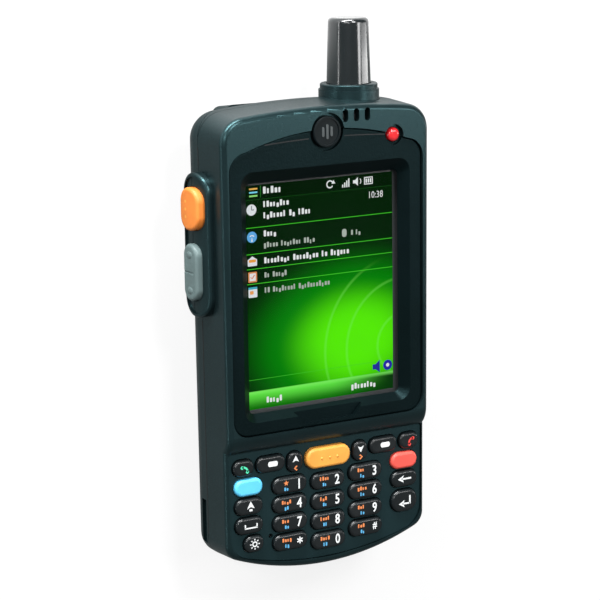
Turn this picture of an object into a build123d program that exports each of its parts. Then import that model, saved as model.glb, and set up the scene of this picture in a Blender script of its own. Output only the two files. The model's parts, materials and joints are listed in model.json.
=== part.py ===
from build123d import *
import os
from math import atan, cos, sin, sqrt

# Handheld barcode data terminal with a stub antenna.
# It lies on its back: X to the right, Y towards the antenna, Z out of the display.
# The origin is on the face it rests on, under the display's centre, in millimetres.
# A "level" is a height over that face, and a "reach" is a distance from the origin.

# Body
body_half_width = 38.1          # at the antenna end, on the parting line
foot_half_width = 37.3          # the sides draw in towards the keypad end
top_reach = 59.6
bottom_reach = 90.2
top_crown_radius = 280.0
bottom_crown_radius = 89.0
top_corner_radius = 9.0
bottom_corner_radius = 6.0
front_level = 38.3
keypad_rim_level = 35.8
parting_level = 24.0
back_level = 12.0
wall_draft = 3.0                # degrees
front_edge_radius = 1.9
back_edge_radius = 9.0
heel_edge_radius = 2.5
front_wall = 2.9
rear_wall = 2.4
seam_gap = 0.2
piece_gap = 0.2                 # round a piece set into a pocket
button_gap = 0.25               # round a piece that moves
heel_start = 52.0               # the back rises towards the foot from here
heel_radius = 90.0
heel_dip = 1.0                  # the heel's arc passes this far under the back and meets it at a slight crease

# Display stack
display_width = 53.28
display_length = 71.04
display_level = 33.0
display_border = 0.85
lcd_half_width = 32.0
lcd_top_reach = 39.8
lcd_foot_reach = 43.0
lcd_thickness = 3.8
lcd_edge = 1.2
touch_panel_thickness = 1.1
touch_panel_half_width = 31.5
touch_panel_top_reach = 40.3
touch_panel_foot_reach = 40.5
touch_panel_gap = 0.1
gasket_thickness = 0.5
gasket_width = 2.6
ceiling_gap = 0.2

# Display bezel
bezel_level = 37.5
bezel_half_width = 34.8
bezel_foot_reach = 42.7
bezel_foot_radius = 5.5
bezel_shoulder_start = 40.5
bezel_shoulder_x = 29.5
bezel_shoulder_reach = 46.4
bezel_crown_reach = 51.6
bezel_edge_radius = 0.5
bevel_width = 3.0
bevel_top_width = 4.0
bevel_foot_width = 2.3
window_corner_radius = 1.6
bevel_corner_radius = 4.2
thumb_top_half_width = 12.4
thumb_foot_half_width = 8.9
thumb_top_reach = 37.6
thumb_length = 4.0
thumb_bulge = 0.9
thumb_corner_radius = 1.6
thumb_depth = 1.5

# Emblem, indicator and earpiece in the brow
emblem_reach = 50.8
emblem_radius = 5.0
emblem_moat = 0.95
emblem_floor_level = 36.5
emblem_thickness = 1.6
emblem_rim = 0.8
emblem_sink = 0.35
indicator_x = 24.4
indicator_reach = 48.0
indicator_radius = 2.25
indicator_dish_radius = 3.3
indicator_dish_depth = 0.7
indicator_rise = 0.7
slot_first_x = 6.4
slot_pitch = 4.0
slot_count = 3
slot_width = 2.0
slot_length = 4.1
slot_reach = 55.3
slot_depth = 2.3
earpiece_width = 15.0
earpiece_length = 6.0
earpiece_thickness = 2.8
earpiece_reach = 52.4
duct_width = 11.4
duct_length = 4.2
duct_reach = 54.4

# Ramp between display and keypad
ramp_setback = 0.3              # the ramp starts this far before the bezel's foot
ramp_run = 5.7

# Keypad panel and keys
panel_setback = 0.2             # from the ramp's foot to the panel's top
panel_half_width = 35.75
panel_foot_half_width = 35.3
panel_foot_rim = 3.0            # from the panel's foot to the body's foot
panel_crown_radius = 108.0
panel_corner_radius = 8.0
panel_top_corner_radius = 0.8
panel_level = 35.0
panel_thickness = 1.2
panel_ledge = 0.55
key_rise = 1.4
scan_key_rise = 1.8
key_edge_radius = 0.95
key_foot_depth = 2.6            # from the panel's face down to the key's foot
key_well_depth = 1.0
key_travel = 0.7
dome_radius = 1.5
dome_gap = 0.4
dome_rest_gap = 0.2
dome_draft = 12.0
membrane_thickness = 0.5
membrane_air = 0.3              # left under a key that is pressed home
keypad_board_thickness = 1.0
microphone_x = 20.9
microphone_row = 28.8
microphone_radius = 1.4
microphone_height = 2.1
microphone_hole_radius = 0.75

# Key layout
number_pitch = 14.1
number_width = 12.4
number_length = 5.5
side_row_start = 12.7           # rows are placed down from the panel's top
side_row_pitch = 6.27
middle_row_start = 13.4
middle_row_pitch = 6.67
outer_key_inset = 6.85          # outer keys' centres, in from the panel's edge
outer_key_width = 9.8
call_key_inset = 5.1
call_key_width = 7.3
call_key_length = 5.4
soft_key_x = 20.9
soft_key_width = 10.4
arrow_key_x = 12.1
arrow_key_width = 5.5
arrow_key_length = 6.8
scan_key_width = 16.2
scan_key_length = 6.8
enter_key_length = 7.5
lamp_key_width = 7.0
call_row = 4.8
arrow_row = 5.5
outer_row_start = 11.3
outer_row_pitch = 6.25
enter_row = 25.0
lamp_key_shift = 1.5

# Side pods and their buttons
pod_length = 45.5
pod_height = 13.7
pod_y = 17.25
pod_level = 25.35
pod_reach = 41.0
pod_crown_radius = 25.0
pod_crown_level = 22.5
pod_lip = 1.3
pod_lip_depth = 0.6
pod_edge_radius = 1.0
trigger_y = 28.7
trigger_length = 13.4
trigger_height = 10.0
trigger_level = 24.8
trigger_rise = 1.7
trigger_travel = 0.9
rocker_y = 8.8
rocker_length = 18.1
rocker_height = 7.8
rocker_level = 24.4
rocker_rise = 1.3
rocker_groove = 0.4
rocker_pivot_radius = 0.8
rocker_pivot_reach = 38.0
rocker_pivot_length = 1.0
pivot_gap = 0.05
action_y = 10.3
action_length = 11.0
action_height = 7.8
action_rise = 1.3
button_edge_radius = 1.1
flange_lap = 0.9
flange_thickness = 0.7
flange_gap = 0.2
rocker_flange_gap = 0.7
rocker_swing = 0.45             # how far the rocker's ends move in
switch_air = 0.25
plunger_radius = 0.9
plunger_length = 0.4
switch_thickness = 1.4
switch_length = 4.5
switch_height = 3.6
switch_wall = 1.2
switch_wall_x = 30.4
switch_wall_level = 27.5
cradle_slot_setback = 17.4      # in from the body's foot
cradle_slot_length = 14.4
cradle_slot_level = 21.6
cradle_slot_height = 2.8
cradle_slot_depth = 1.2

# Top cap and antenna
cap_seam_drop = 8.4
cap_seam_half_width = 38.5
cap_start = 50.8
antenna_x = 17.5
antenna_level = 22.0
boss_radius = 9.7
boss_height = 2.0
boss_depth = 3.6
collar_radius = 9.2
collar_height = 1.9
collar_edge_radius = 0.5
antenna_length = 22.6
antenna_foot_radius = 7.1
antenna_tip_radius = 6.45
antenna_edge_radius = 1.5
antenna_bore_radius = 3.4
antenna_wall = 2.0
core_gap = 0.1
core_tail = 6.0
core_tail_radius = 2.0
core_turns = 7
core_groove = 0.6

# Scan hump on the back
hump_half_width = 25.0
hump_start = 25.0
hump_reach = 58.6
hump_level = 4.6
hump_draft = 8.0
hump_edge_radius = 2.5
hump_wall = 2.0
window_x = -7.0
window_width = 24.0
window_height = 7.6
window_level = 11.2
window_thickness = 1.2
window_sink = 0.4
window_ledge = 1.5
engine_setback = 8.0
engine_width = 21.0
engine_length = 13.0
engine_height = 10.6
lens_radius = 2.6
lens_length = 1.0
aimer_width = 6.0
aimer_height = 4.4
speaker_x = 13.5
speaker_y = 41.0
speaker_radius = 7.0
speaker_thickness = 3.2
speaker_magnet_radius = 4.34
speaker_magnet_height = 1.0
grille_count = 4
grille_pitch = 2.6
grille_width = 1.2
grille_length = 9.0

# Battery pack
battery_half_width = 28.0
battery_top_reach = 24.6
battery_foot_reach = 62.0
battery_corner_radius = 5.0
battery_edge_radius = 6.0
battery_cover_gap = 0.2
cell_half_width = 25.7
cell_top_reach = 20.2
cell_foot_reach = 57.7
cell_corner_radius = 3.0
cell_rise = 8.0
bay_gap = 0.3
bay_wall = 1.4
latch_y = 45.0
latch_length = 11.5
latch_height = 4.3
latch_level = 7.2
latch_depth = 3.1
latch_rise = 0.7
latch_travel = 1.0
latch_edge_radius = 0.5
battery_travel = 25.0
contact_count = 5
contact_pitch = 3.0
contact_width = 1.4
contact_length = 3.0
contact_thickness = 0.3

# Boards, connector and screws
board_level = 23.2
board_thickness = 1.2
board_half_width = 28.3
board_top_reach = 42.0
board_foot_setback = 18.2
board_corner_radius = 2.0
board_blocks = (                # shielding cans: X from and to, Y from and to, height
    (-22.0, 2.0, -24.0, 6.0, 2.0),
    (6.0, 24.0, -18.0, 14.0, 1.6),
    (-20.0, -4.0, -50.0, -32.0, 1.4),
    (2.0, 20.0, -58.0, -44.0, 2.2),
    (-10.0, 14.0, 22.0, 34.0, 1.8))
post_radius = 2.0
post_x = 22.0
connector_half_width = 14.0
connector_height = 6.0
connector_level = 25.6
connector_sink = 1.3            # its face stands this far inside the body's foot
connector_depth = 5.0
connector_flange = 0.9
connector_mouth_depth = 2.5
connector_mouth_wall = 1.1
pin_count = 12
pin_pitch = 2.0
pin_width = 0.9
pin_height = 2.6
pin_length = 1.2
screw_radius = 1.0
screw_gap = 0.15
screw_head_radius = 1.9
screw_head_height = 1.4
screw_sink = 4.6                # from the back down to the heads' seats
screw_thread_gap = 0.02
screw_bite = 3.5                # the tips end this far under the front's ceiling
screw_tip_room = 0.5
screw_socket_floor = 0.4
screw_socket_radius = 0.9
boss_wall = 1.7
top_screw_x = 30.5
top_screw_reach = 46.5
middle_screw_x = 32.2
middle_screw_reach = 46.1
foot_screw_x = 29.5
foot_screw_setback = 12.7

os.makedirs("parts", exist_ok=True)


# ---------------------------------------------------------------- helpers

def save(shape, node):
    """Write one node as one STEP file."""
    export_step(shape, f"parts/{node}.step")


def rounded(width, length, radius, x=0.0, y=0.0):
    """A rounded rectangle on the XY plane, centred at x, y."""
    return Pos(x, y) * RectangleRounded(width, length, min(radius, width / 2 - 0.05, length / 2 - 0.05))


def slab(face, low, high):
    """A face drawn on XY, raised to fill the levels from low to high."""
    return extrude(Pos(0, 0, low) * face, high - low)


def side_slab(face, near, far):
    """A face drawn in Y and level, extruded along X from near to far."""
    return extrude(Plane.YZ.offset(near) * face, far - near)


def end_slab(face, near, far):
    """A face drawn in X and level, extruded along Y from near to far."""
    return extrude(Plane(origin=(0, near, 0), x_dir=(-1, 0, 0), z_dir=(0, 1, 0)) * mirror(face, Plane.YZ), far - near)


def box(x_low, x_high, y_low, y_high, z_low, z_high):
    """A block between two corners."""
    size = (x_high - x_low, y_high - y_low, z_high - z_low)
    centre = ((x_high + x_low) / 2, (y_high + y_low) / 2, (z_high + z_low) / 2)
    return Pos(*centre) * Box(*size)


def rod(radius, x, y, low, high):
    """A round bar along Z."""
    return slab(Pos(x, y) * Circle(radius), low, high)


def both_sides(shape):
    """The shape and its mirror image across the middle plane."""
    return shape + mirror(shape, Plane.YZ)


# ---------------------------------------------------------------- body forms

def body_outline(inset=0.0):
    """Plan of the body: leaning sides between two crowned ends, drawn in by inset."""
    half = body_half_width - inset
    foot = foot_half_width - inset
    over = 5.0
    sides = make_face(Polyline((-foot, -bottom_reach - over), (foot, -bottom_reach - over),
                               (half, top_reach + over), (-half, top_reach + over), close=True))
    top_radius = top_crown_radius - inset
    bottom_radius = bottom_crown_radius - inset
    face = sides & Pos(0, top_reach - top_crown_radius) * Circle(top_radius)
    face = face & Pos(0, bottom_crown_radius - bottom_reach) * Circle(bottom_radius)
    face = fillet(face.vertices().sort_by(Axis.Y)[-2:], top_corner_radius - inset)
    return fillet(face.vertices().sort_by(Axis.Y)[:2], bottom_corner_radius - inset)


def half_width_at(y):
    """Half the body's width on the parting line at a place along its length."""
    over = 5.0
    share = (y + bottom_reach + over) / (top_reach + bottom_reach + 2 * over)
    return foot_half_width + (body_half_width - foot_half_width) * share


def sag(radius, x):
    """How far an arc of this radius has fallen away at a distance x from its crown."""
    return radius - sqrt(radius ** 2 - x ** 2)


def front_form():
    """Outer form of the front half: drafted walls, a ramp down to the keypad rim, rounded edge."""
    low = parting_level + seam_gap / 2
    form = extrude(Pos(0, 0, low) * body_outline(), front_level - low, taper=wall_draft)
    run = ramp_foot_reach - ramp_top_reach
    turn = 2 * atan((front_level - keypad_rim_level) / run)
    radius = run / sin(turn)
    middle = (-ramp_top_reach - radius * sin(turn / 2), front_level - radius * (1 - cos(turn / 2)))
    over = 20.0
    ramp = ThreePointArc((-ramp_top_reach, front_level), middle, (-ramp_foot_reach, keypad_rim_level))
    air = Polyline((-ramp_foot_reach, keypad_rim_level), (-bottom_reach - over, keypad_rim_level),
                   (-bottom_reach - over, front_level + over), (-ramp_top_reach, front_level + over),
                   (-ramp_top_reach, front_level))
    form -= extrude(Plane.YZ * make_face(ramp + air), body_half_width + over, both=True)
    across = [edge for edge in form.edges().filter_by(Axis.X) if abs(edge.center().X) < 1]
    rim = [edge for edge in form.edges() if edge.center().Z > keypad_rim_level - 0.1 and edge not in across]
    return fillet(rim, front_edge_radius)


def rear_form(inset=0.0):
    """Form of the back half, drawn in by inset: rounded back edge, heel rising towards the foot."""
    high = parting_level - seam_gap / 2
    low = back_level + inset
    form = mirror(extrude(Pos(0, 0, -high) * body_outline(inset), high - low), Plane.XY)
    form = fillet(form.faces().sort_by(Axis.Z)[0].edges(), back_edge_radius - inset)
    over = 20.0
    end = bottom_reach + over
    foot = make_face(Polyline((-end, low - over), (-heel_start, low - over), (-heel_start, high + over),
                              (-end, high + over), close=True))
    heel = Pos(-heel_start, back_level - heel_dip + heel_radius) * Circle(heel_radius - inset)
    return form - extrude(Plane.YZ * (foot - heel), body_half_width + over, both=True)


def heel_edges(form):
    """Sharp edges that the heel leaves round the foot of the back."""
    high = parting_level - seam_gap / 2
    return [edge for edge in form.edges()
            if edge.center().Y < -bottom_reach + 2 * bottom_corner_radius + 3
            and back_level + 1 < edge.center().Z < high - 0.5
            and abs((edge @ 1 - edge @ 0).Z) < 0.8 * edge.length]


def pod_outline(y, level, length, height, grow=0.0):
    """An oval in Y and level, grown by grow."""
    return Pos(y, level) * SlotOverall(length + 2 * grow, height + 2 * grow)


def pod_crown(reach):
    """Crowned side surface of a pod: a bar along Y whose outermost line is at reach."""
    radius = pod_crown_radius - (pod_reach - reach)
    face = Pos(pod_reach - pod_crown_radius, pod_crown_level) * Circle(radius)
    return end_slab(face, pod_y - pod_length, pod_y + pod_length)


def pod_bulge():
    """Right pod: an oval raised on the body's side, its face crowned and its edge rounded."""
    inner = foot_half_width - front_wall
    oval = side_slab(pod_outline(pod_y, pod_level, pod_length, pod_height), inner, pod_reach + 1)
    bulge = oval & pod_crown(pod_reach)
    rim = [edge for edge in bulge.edges() if edge.center().X > pod_reach - 3 and edge.length > 1]
    return fillet(rim, pod_edge_radius)


def pod_hollow():
    """Shallow oval recess that leaves a lip round a pod's face."""
    face = pod_outline(pod_y, pod_level, pod_length, pod_height, -pod_lip)
    recess = side_slab(face, pod_reach - 5, pod_reach + 1)
    return recess - pod_crown(pod_reach - pod_lip_depth)


def trigger_outline(grow=0.0):
    """Outline of a scan button in Y and level."""
    return Pos(trigger_y, trigger_level) * RectangleRounded(
        trigger_length + 2 * grow, trigger_height + 2 * grow, trigger_height / 2 - 0.4 + grow)


def rocker_outline(grow=0.0):
    """Outline of the volume rocker in Y and level."""
    return pod_outline(rocker_y, rocker_level, rocker_length, rocker_height, grow)


def action_outline(grow=0.0):
    """Outline of the action button in Y and level."""
    return pod_outline(action_y, rocker_level, action_length, action_height, grow)


def bezel_outline(grow=0.0):
    """Plan of the display bezel: straight sides, round foot corners, shoulders and a crowned brow."""
    half = bezel_half_width + grow
    foot = -bezel_foot_reach - grow
    side = Line((half, foot), (half, bezel_shoulder_start))
    shoulder_tip = (bezel_shoulder_x, bezel_shoulder_reach + grow)
    shoulder = TangentArc(side @ 1, shoulder_tip, tangent=side % 1)
    brow = ThreePointArc(shoulder_tip, (0, bezel_crown_reach + grow), (-shoulder_tip[0], shoulder_tip[1]))
    left_shoulder = mirror(shoulder, Plane.YZ)
    left_side = mirror(side, Plane.YZ)
    base = Line((-half, foot), (half, foot))
    face = make_face([side.edge(), shoulder.edge(), brow.edge(), left_shoulder.edge(), left_side.edge(),
                      base.edge()])
    return fillet(face.vertices().sort_by(Axis.Y)[:2], bezel_foot_radius + grow)


def panel_outline(grow=0.0):
    """Plan of the keypad panel: straight top, drawn-in sides and a crowned foot."""
    top = -panel_top_reach + grow
    half = panel_half_width + grow
    foot = panel_foot_half_width + grow
    over = 5.0
    face = make_face(Polyline((-foot, -panel_bottom_reach - over), (foot, -panel_bottom_reach - over),
                              (half, top), (-half, top), close=True))
    face = face & Pos(0, panel_crown_radius - panel_bottom_reach) * Circle(panel_crown_radius + grow)
    corners = face.vertices().sort_by(Axis.Y)
    face = fillet(corners[:2], panel_corner_radius + grow)
    return fillet(face.vertices().sort_by(Axis.Y)[-2:], max(panel_top_corner_radius + grow, 0.3))


# ---------------------------------------------------------------- levels that follow from the stack

thumb_foot_reach = thumb_top_reach + thumb_length
ramp_top_reach = bezel_foot_reach - ramp_setback
ramp_foot_reach = ramp_top_reach + ramp_run
panel_top_reach = ramp_foot_reach + panel_setback
panel_bottom_reach = bottom_reach - panel_foot_rim
microphone_reach = panel_top_reach + microphone_row
cradle_slot_y = bottom_reach - cradle_slot_setback
connector_face_reach = bottom_reach - connector_sink
board_foot_reach = bottom_reach - board_foot_setback
foot_screw_reach = bottom_reach - foot_screw_setback
touch_panel_low = display_level + touch_panel_gap
touch_panel_high = touch_panel_low + touch_panel_thickness
bezel_floor = touch_panel_high + gasket_thickness
ceiling = display_level + ceiling_gap
panel_floor = panel_level - panel_thickness
key_foot = panel_level - key_foot_depth
board_face = key_foot - key_travel - membrane_air - membrane_thickness
keypad_board_floor = board_face - keypad_board_thickness
bay_ceiling = back_level + cell_rise + bay_gap
inside_back = back_level + rear_wall
window_half_width = display_width / 2 + display_border
window_reach = display_length / 2 + display_border
cavity_side = half_width_at(pod_y - pod_length / 2) - front_wall
bezel_seat = bezel_outline(piece_gap)
panel_seat = panel_outline(piece_gap)
collar_seat = top_reach + boss_height


def keys():
    """Every key as (name, x, y, width, length), centre first."""
    rows = []
    digits = (("1", "2", "3"), ("4", "5", "6"), ("7", "8", "9"), ("star", "0", "hash"))
    for row, names in enumerate(digits):
        for column, name in enumerate(names):
            x = (column - 1) * number_pitch
            start, pitch = (middle_row_start, middle_row_pitch) if column == 1 else (side_row_start, side_row_pitch)
            rows.append((name, x, -panel_top_reach - start - row * pitch, number_width, number_length))
    outer = panel_half_width - outer_key_inset
    call = panel_half_width - call_key_inset
    call_y = -panel_top_reach - call_row
    arrow_y = -panel_top_reach - arrow_row
    outer_y = -panel_top_reach - outer_row_start
    rows.append(("call", -call, call_y, call_key_width, call_key_length))
    rows.append(("end", call, call_y, call_key_width, call_key_length))
    rows.append(("soft_left", -soft_key_x, call_y, soft_key_width, call_key_length))
    rows.append(("soft_right", soft_key_x, call_y, soft_key_width, call_key_length))
    rows.append(("up", -arrow_key_x, arrow_y, arrow_key_width, arrow_key_length))
    rows.append(("down", arrow_key_x, arrow_y, arrow_key_width, arrow_key_length))
    rows.append(("scan", 0.0, arrow_y, scan_key_width, scan_key_length))
    for row, name in enumerate(("blue", "shift", "space")):
        rows.append((name, -outer, outer_y - row * outer_row_pitch, outer_key_width, number_length))
    lamp_y = outer_y - 3 * outer_row_pitch
    rows.append(("backlight", lamp_key_shift - outer, lamp_y, lamp_key_width, number_length))
    rows.append(("power", outer, outer_y, outer_key_width, number_length))
    rows.append(("backspace", outer, outer_y - outer_row_pitch, outer_key_width, number_length))
    rows.append(("enter", outer, -panel_top_reach - enter_row, outer_key_width, enter_key_length))
    return rows


def key_outline(key, grow=0.0):
    """A key's pill-shaped plan, grown by grow."""
    name, x, y, width, length = key
    return rounded(width + 2 * grow, length + 2 * grow, min(width, length) / 2 - 0.15 + grow, x, y)


def key_cap(key):
    """A keycap: pill with a rounded top edge and a well under it for the rubber dome."""
    name, x, y, width, length = key
    top = panel_level + (scan_key_rise if name == "scan" else key_rise)
    cap = slab(key_outline(key), key_foot, top)
    cap = fillet(cap.faces().sort_by(Axis.Z)[-1].edges(), key_edge_radius)
    return cap - rod(dome_radius + dome_gap, x, y, key_foot, key_foot + key_well_depth)


# ---------------------------------------------------------------- cutters shared by both shells

def screw_places():
    """Axes of the housing screws on the right side."""
    return ((top_screw_x, top_screw_reach), (middle_screw_x, -middle_screw_reach),
            (foot_screw_x, -foot_screw_reach))


def button_holes():
    """Ways through the side walls for the buttons, and the rocker's pivot sockets."""
    near = cavity_side - 2
    far = pod_reach + 1
    right = side_slab(trigger_outline(button_gap), near, far) + side_slab(action_outline(button_gap), near, far)
    left = side_slab(trigger_outline(button_gap), near, far) + side_slab(rocker_outline(button_gap), near, far)
    left = mirror(left, Plane.YZ)
    reach = rocker_height / 2 + rocker_pivot_length + piece_gap
    pivot = rod(rocker_pivot_radius + pivot_gap, -rocker_pivot_reach, rocker_y,
                rocker_level - reach, rocker_level + reach)
    return right + left + pivot


def connector_outline(grow=0.0):
    """Outline of the foot connector in X and level."""
    width = 2 * connector_half_width + 2 * grow
    height = connector_height + 2 * grow
    return Pos(0, connector_level) * RectangleRounded(width, height, 1.0 + grow)


connector_way = end_slab(connector_outline(piece_gap), -bottom_reach - 2, -bottom_reach + 8)
pod_cut = both_sides(pod_hollow()) + button_holes()
pods = both_sides(pod_bulge())


def boss_form(grow=0.0):
    """Round boss that carries the antenna, along Y."""
    face = Pos(antenna_x, antenna_level) * Circle(boss_radius + grow)
    return end_slab(face, top_reach - boss_depth, collar_seat)


# ---------------------------------------------------------------- front housing

def half_space(low, high):
    """Everything between two levels."""
    over = 2 * bottom_reach
    return box(-over, over, -over, over, low, high)


front = front_form() + (pods & half_space(parting_level + seam_gap / 2, front_level))
cavity_low = parting_level
cavity = slab(body_outline(front_wall), cavity_low, ceiling)
keypad_cavity = slab(panel_outline(-panel_ledge), cavity_low, panel_floor + 1)
front -= cavity + keypad_cavity
front -= slab(rounded(2 * touch_panel_half_width + 2 * ceiling_gap, touch_panel_top_reach + touch_panel_foot_reach
                      + 2 * ceiling_gap, 1.2, 0, (touch_panel_top_reach - touch_panel_foot_reach) / 2),
              ceiling - 1, bezel_floor + 1)
front -= slab(bezel_seat, bezel_floor, front_level + 1)
front -= slab(panel_seat, panel_floor, front_level + 1)
brow_cut = rod(emblem_radius + emblem_moat, 0, emblem_reach, emblem_floor_level, front_level + 1)
brow_cut += rod(indicator_radius + piece_gap, indicator_x, indicator_reach, ceiling - 1, front_level + 1)
brow_cut += rod(indicator_dish_radius, indicator_x, indicator_reach, bezel_level - indicator_dish_depth,
                front_level + 1)
front -= brow_cut
slot_middle_x = slot_first_x + slot_pitch * (slot_count - 1) / 2
for place in range(slot_count):
    slot = Pos(slot_first_x + place * slot_pitch, slot_reach) * Rot(0, 0, 90) * SlotOverall(slot_length, slot_width)
    front -= slab(slot, front_level - slot_depth, front_level + 1)
front -= slab(rounded(duct_width, duct_length, 1.0, slot_middle_x, duct_reach), ceiling - 1,
              front_level - slot_depth + 0.05)
front -= pod_cut
front -= boss_form(piece_gap)
front -= connector_way

screw_boss_low = parting_level + seam_gap / 2
for x, y in screw_places():
    high = keypad_board_floor if y < -panel_top_reach else ceiling
    boss = rod(screw_radius + boss_wall, x, y, screw_boss_low, high)
    if y < -panel_top_reach:
        boss += box(x, half_width_at(y) - front_wall + 0.5, y - 1, y + 1, screw_boss_low, high)
    front += both_sides(boss)
for x, y in screw_places():
    hole = rod(screw_radius, x, y, screw_boss_low - 1, ceiling - screw_bite + screw_tip_room)
    front -= both_sides(hole)
save(front, "front_housing")

# ---------------------------------------------------------------- display bezel

bezel = slab(bezel_outline(), bezel_floor, bezel_level)
bezel_top = bezel.faces().sort_by(Axis.Z)[-1]
bezel = fillet(bezel_top.edges(), bezel_edge_radius)
window = Pos(0, 0, bezel_floor) * rounded(2 * window_half_width, 2 * window_reach, window_corner_radius)
mouth_length = 2 * window_reach + bevel_top_width + bevel_foot_width
mouth = Pos(0, 0, bezel_level) * rounded(2 * window_half_width + 2 * bevel_width, mouth_length,
                                         bevel_corner_radius, 0, (bevel_top_width - bevel_foot_width) / 2)
bezel -= loft([window.face(), mouth.face()])
thumb = make_face([
    ThreePointArc((-thumb_top_half_width, -thumb_top_reach), (0, thumb_bulge - thumb_top_reach),
                  (thumb_top_half_width, -thumb_top_reach)).edge(),
    Line((thumb_top_half_width, -thumb_top_reach), (thumb_foot_half_width, -thumb_foot_reach)).edge(),
    Line((thumb_foot_half_width, -thumb_foot_reach), (-thumb_foot_half_width, -thumb_foot_reach)).edge(),
    Line((-thumb_foot_half_width, -thumb_foot_reach), (-thumb_top_half_width, -thumb_top_reach)).edge()])
thumb = fillet(thumb.vertices().sort_by(Axis.Y)[:2], thumb_corner_radius)
bezel -= slab(thumb, bezel_level - thumb_depth, bezel_level + 1)
bezel -= brow_cut
save(bezel, "display_bezel")

gasket_inner = rounded(2 * window_half_width + 1, 2 * window_reach + 1, window_corner_radius)
gasket_outer = rounded(2 * window_half_width + 1 + 2 * gasket_width, 2 * window_reach + 1 + 2 * gasket_width,
                       window_corner_radius + gasket_width)
save(slab(gasket_outer - gasket_inner, touch_panel_high, bezel_floor), "display_gasket")

touch_length = touch_panel_top_reach + touch_panel_foot_reach
touch_y = (touch_panel_top_reach - touch_panel_foot_reach) / 2
touch_panel = slab(rounded(2 * touch_panel_half_width, touch_length, 1.0, 0, touch_y), touch_panel_low, touch_panel_high)
save(touch_panel, "touch_panel")

lcd_length = lcd_top_reach + lcd_foot_reach
lcd_y = (lcd_top_reach - lcd_foot_reach) / 2
lcd_floor = display_level - lcd_thickness
lcd = slab(rounded(2 * lcd_half_width, lcd_length, 0.8, 0, lcd_y), lcd_floor, display_level)
lcd -= slab(rounded(2 * lcd_half_width - 2 * lcd_edge, lcd_length - 2 * lcd_edge, 0.5, 0, lcd_y), lcd_floor,
            lcd_floor + 0.6)
save(lcd, "lcd_module")

# ---------------------------------------------------------------- emblem, indicator, earpiece

emblem = rod(emblem_radius, 0, emblem_reach, emblem_floor_level, emblem_floor_level + emblem_thickness)
emblem = fillet(emblem.faces().sort_by(Axis.Z)[-1].edges(), emblem_rim / 2)
emblem -= rod(emblem_radius - emblem_rim, 0, emblem_reach, emblem_floor_level + emblem_thickness - emblem_sink,
              emblem_floor_level + emblem_thickness)
save(emblem, "emblem_disc")

indicator = rod(indicator_radius, indicator_x, indicator_reach, ceiling, bezel_level + indicator_rise)
indicator = fillet(indicator.faces().sort_by(Axis.Z)[-1].edges(), indicator_rise + indicator_dish_depth - 0.2)
save(indicator, "indicator_lens")

earpiece = slab(rounded(earpiece_width, earpiece_length, 1.5, slot_middle_x, earpiece_reach),
                ceiling - earpiece_thickness, ceiling)
save(earpiece, "earpiece")

# ---------------------------------------------------------------- keypad

all_keys = keys()
panel = slab(panel_outline(), panel_floor, panel_level)
for key in all_keys:
    panel -= slab(key_outline(key, button_gap), panel_floor - 1, panel_level + 1)
panel -= rod(microphone_hole_radius, -microphone_x, -microphone_reach, panel_floor - 1, panel_level + 1)
save(panel, "keypad_panel")

for key in all_keys:
    save(key_cap(key), f"key_{key[0]}")

membrane_face = board_face + membrane_thickness
membrane = slab(panel_outline(-panel_ledge - piece_gap), board_face, membrane_face)
dome_height = key_foot - dome_rest_gap - membrane_face
for name, x, y, width, length in all_keys:
    dome = extrude(Pos(x, y, membrane_face) * Circle(dome_radius), dome_height, taper=dome_draft)
    membrane += dome
membrane -= rod(microphone_radius + button_gap, -microphone_x, -microphone_reach, board_face - 1, membrane_face + 1)
save(membrane, "keypad_membrane")
save(rod(microphone_radius, -microphone_x, -microphone_reach, board_face, board_face + microphone_height), "microphone")

keypad_board = slab(panel_outline(-panel_ledge - piece_gap), keypad_board_floor, board_face)
save(keypad_board, "keypad_board")

# ---------------------------------------------------------------- rear housing and top cap

def hump_form(inset=0.0):
    """Raised block on the back that holds the scan engine."""
    low = hump_level + inset
    half = hump_half_width - inset
    length = hump_reach - hump_start - 2 * inset
    middle = (hump_reach + hump_start) / 2
    root = Pos(0, 0, -back_level - 4) * rounded(2 * half, length, 4.0 - inset / 2, 0, middle)
    block = mirror(extrude(root, back_level + 4 - low, taper=hump_draft), Plane.XY)
    if inset == 0:
        block = fillet(block.faces().sort_by(Axis.Z)[0].edges(), hump_edge_radius)
    return block


def bay_outline(grow=0.0):
    """Plan of the battery's inner part, grown by grow."""
    length = cell_top_reach + cell_foot_reach
    middle = (cell_top_reach - cell_foot_reach) / 2
    return rounded(2 * cell_half_width + 2 * grow, length + 2 * grow, cell_corner_radius + grow, 0, middle)


def cap_region(gap=0.0):
    """Space of the top cap: above an arched seam that crosses the antenna end, grown by gap."""
    high = parting_level + 1
    arch = ThreePointArc((-cap_seam_half_width, parting_level - gap), (0, parting_level - cap_seam_drop - gap),
                         (cap_seam_half_width, parting_level - gap))
    rim = Polyline((cap_seam_half_width, parting_level - gap), (cap_seam_half_width, high),
                   (-cap_seam_half_width, high), (-cap_seam_half_width, parting_level - gap))
    return end_slab(make_face(arch + rim), cap_start - gap, top_reach + 5)


rear_outer = rear_form()
rear_outer = fillet(heel_edges(rear_outer), heel_edge_radius)
rear_outer += pods & half_space(0, parting_level - seam_gap / 2)
rear_inner = rear_form(rear_wall)
top_half = cap_region() & half_space(0, parting_level - seam_gap / 2)
rear_shell = rear_outer - rear_inner
top_cap = rear_shell & top_half
boss = boss_form()
top_cap += boss
top_cap -= end_slab(Pos(antenna_x, antenna_level) * Circle(core_tail_radius + core_gap), cap_start, top_reach + 5)
save(top_cap, "top_cap")

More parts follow.
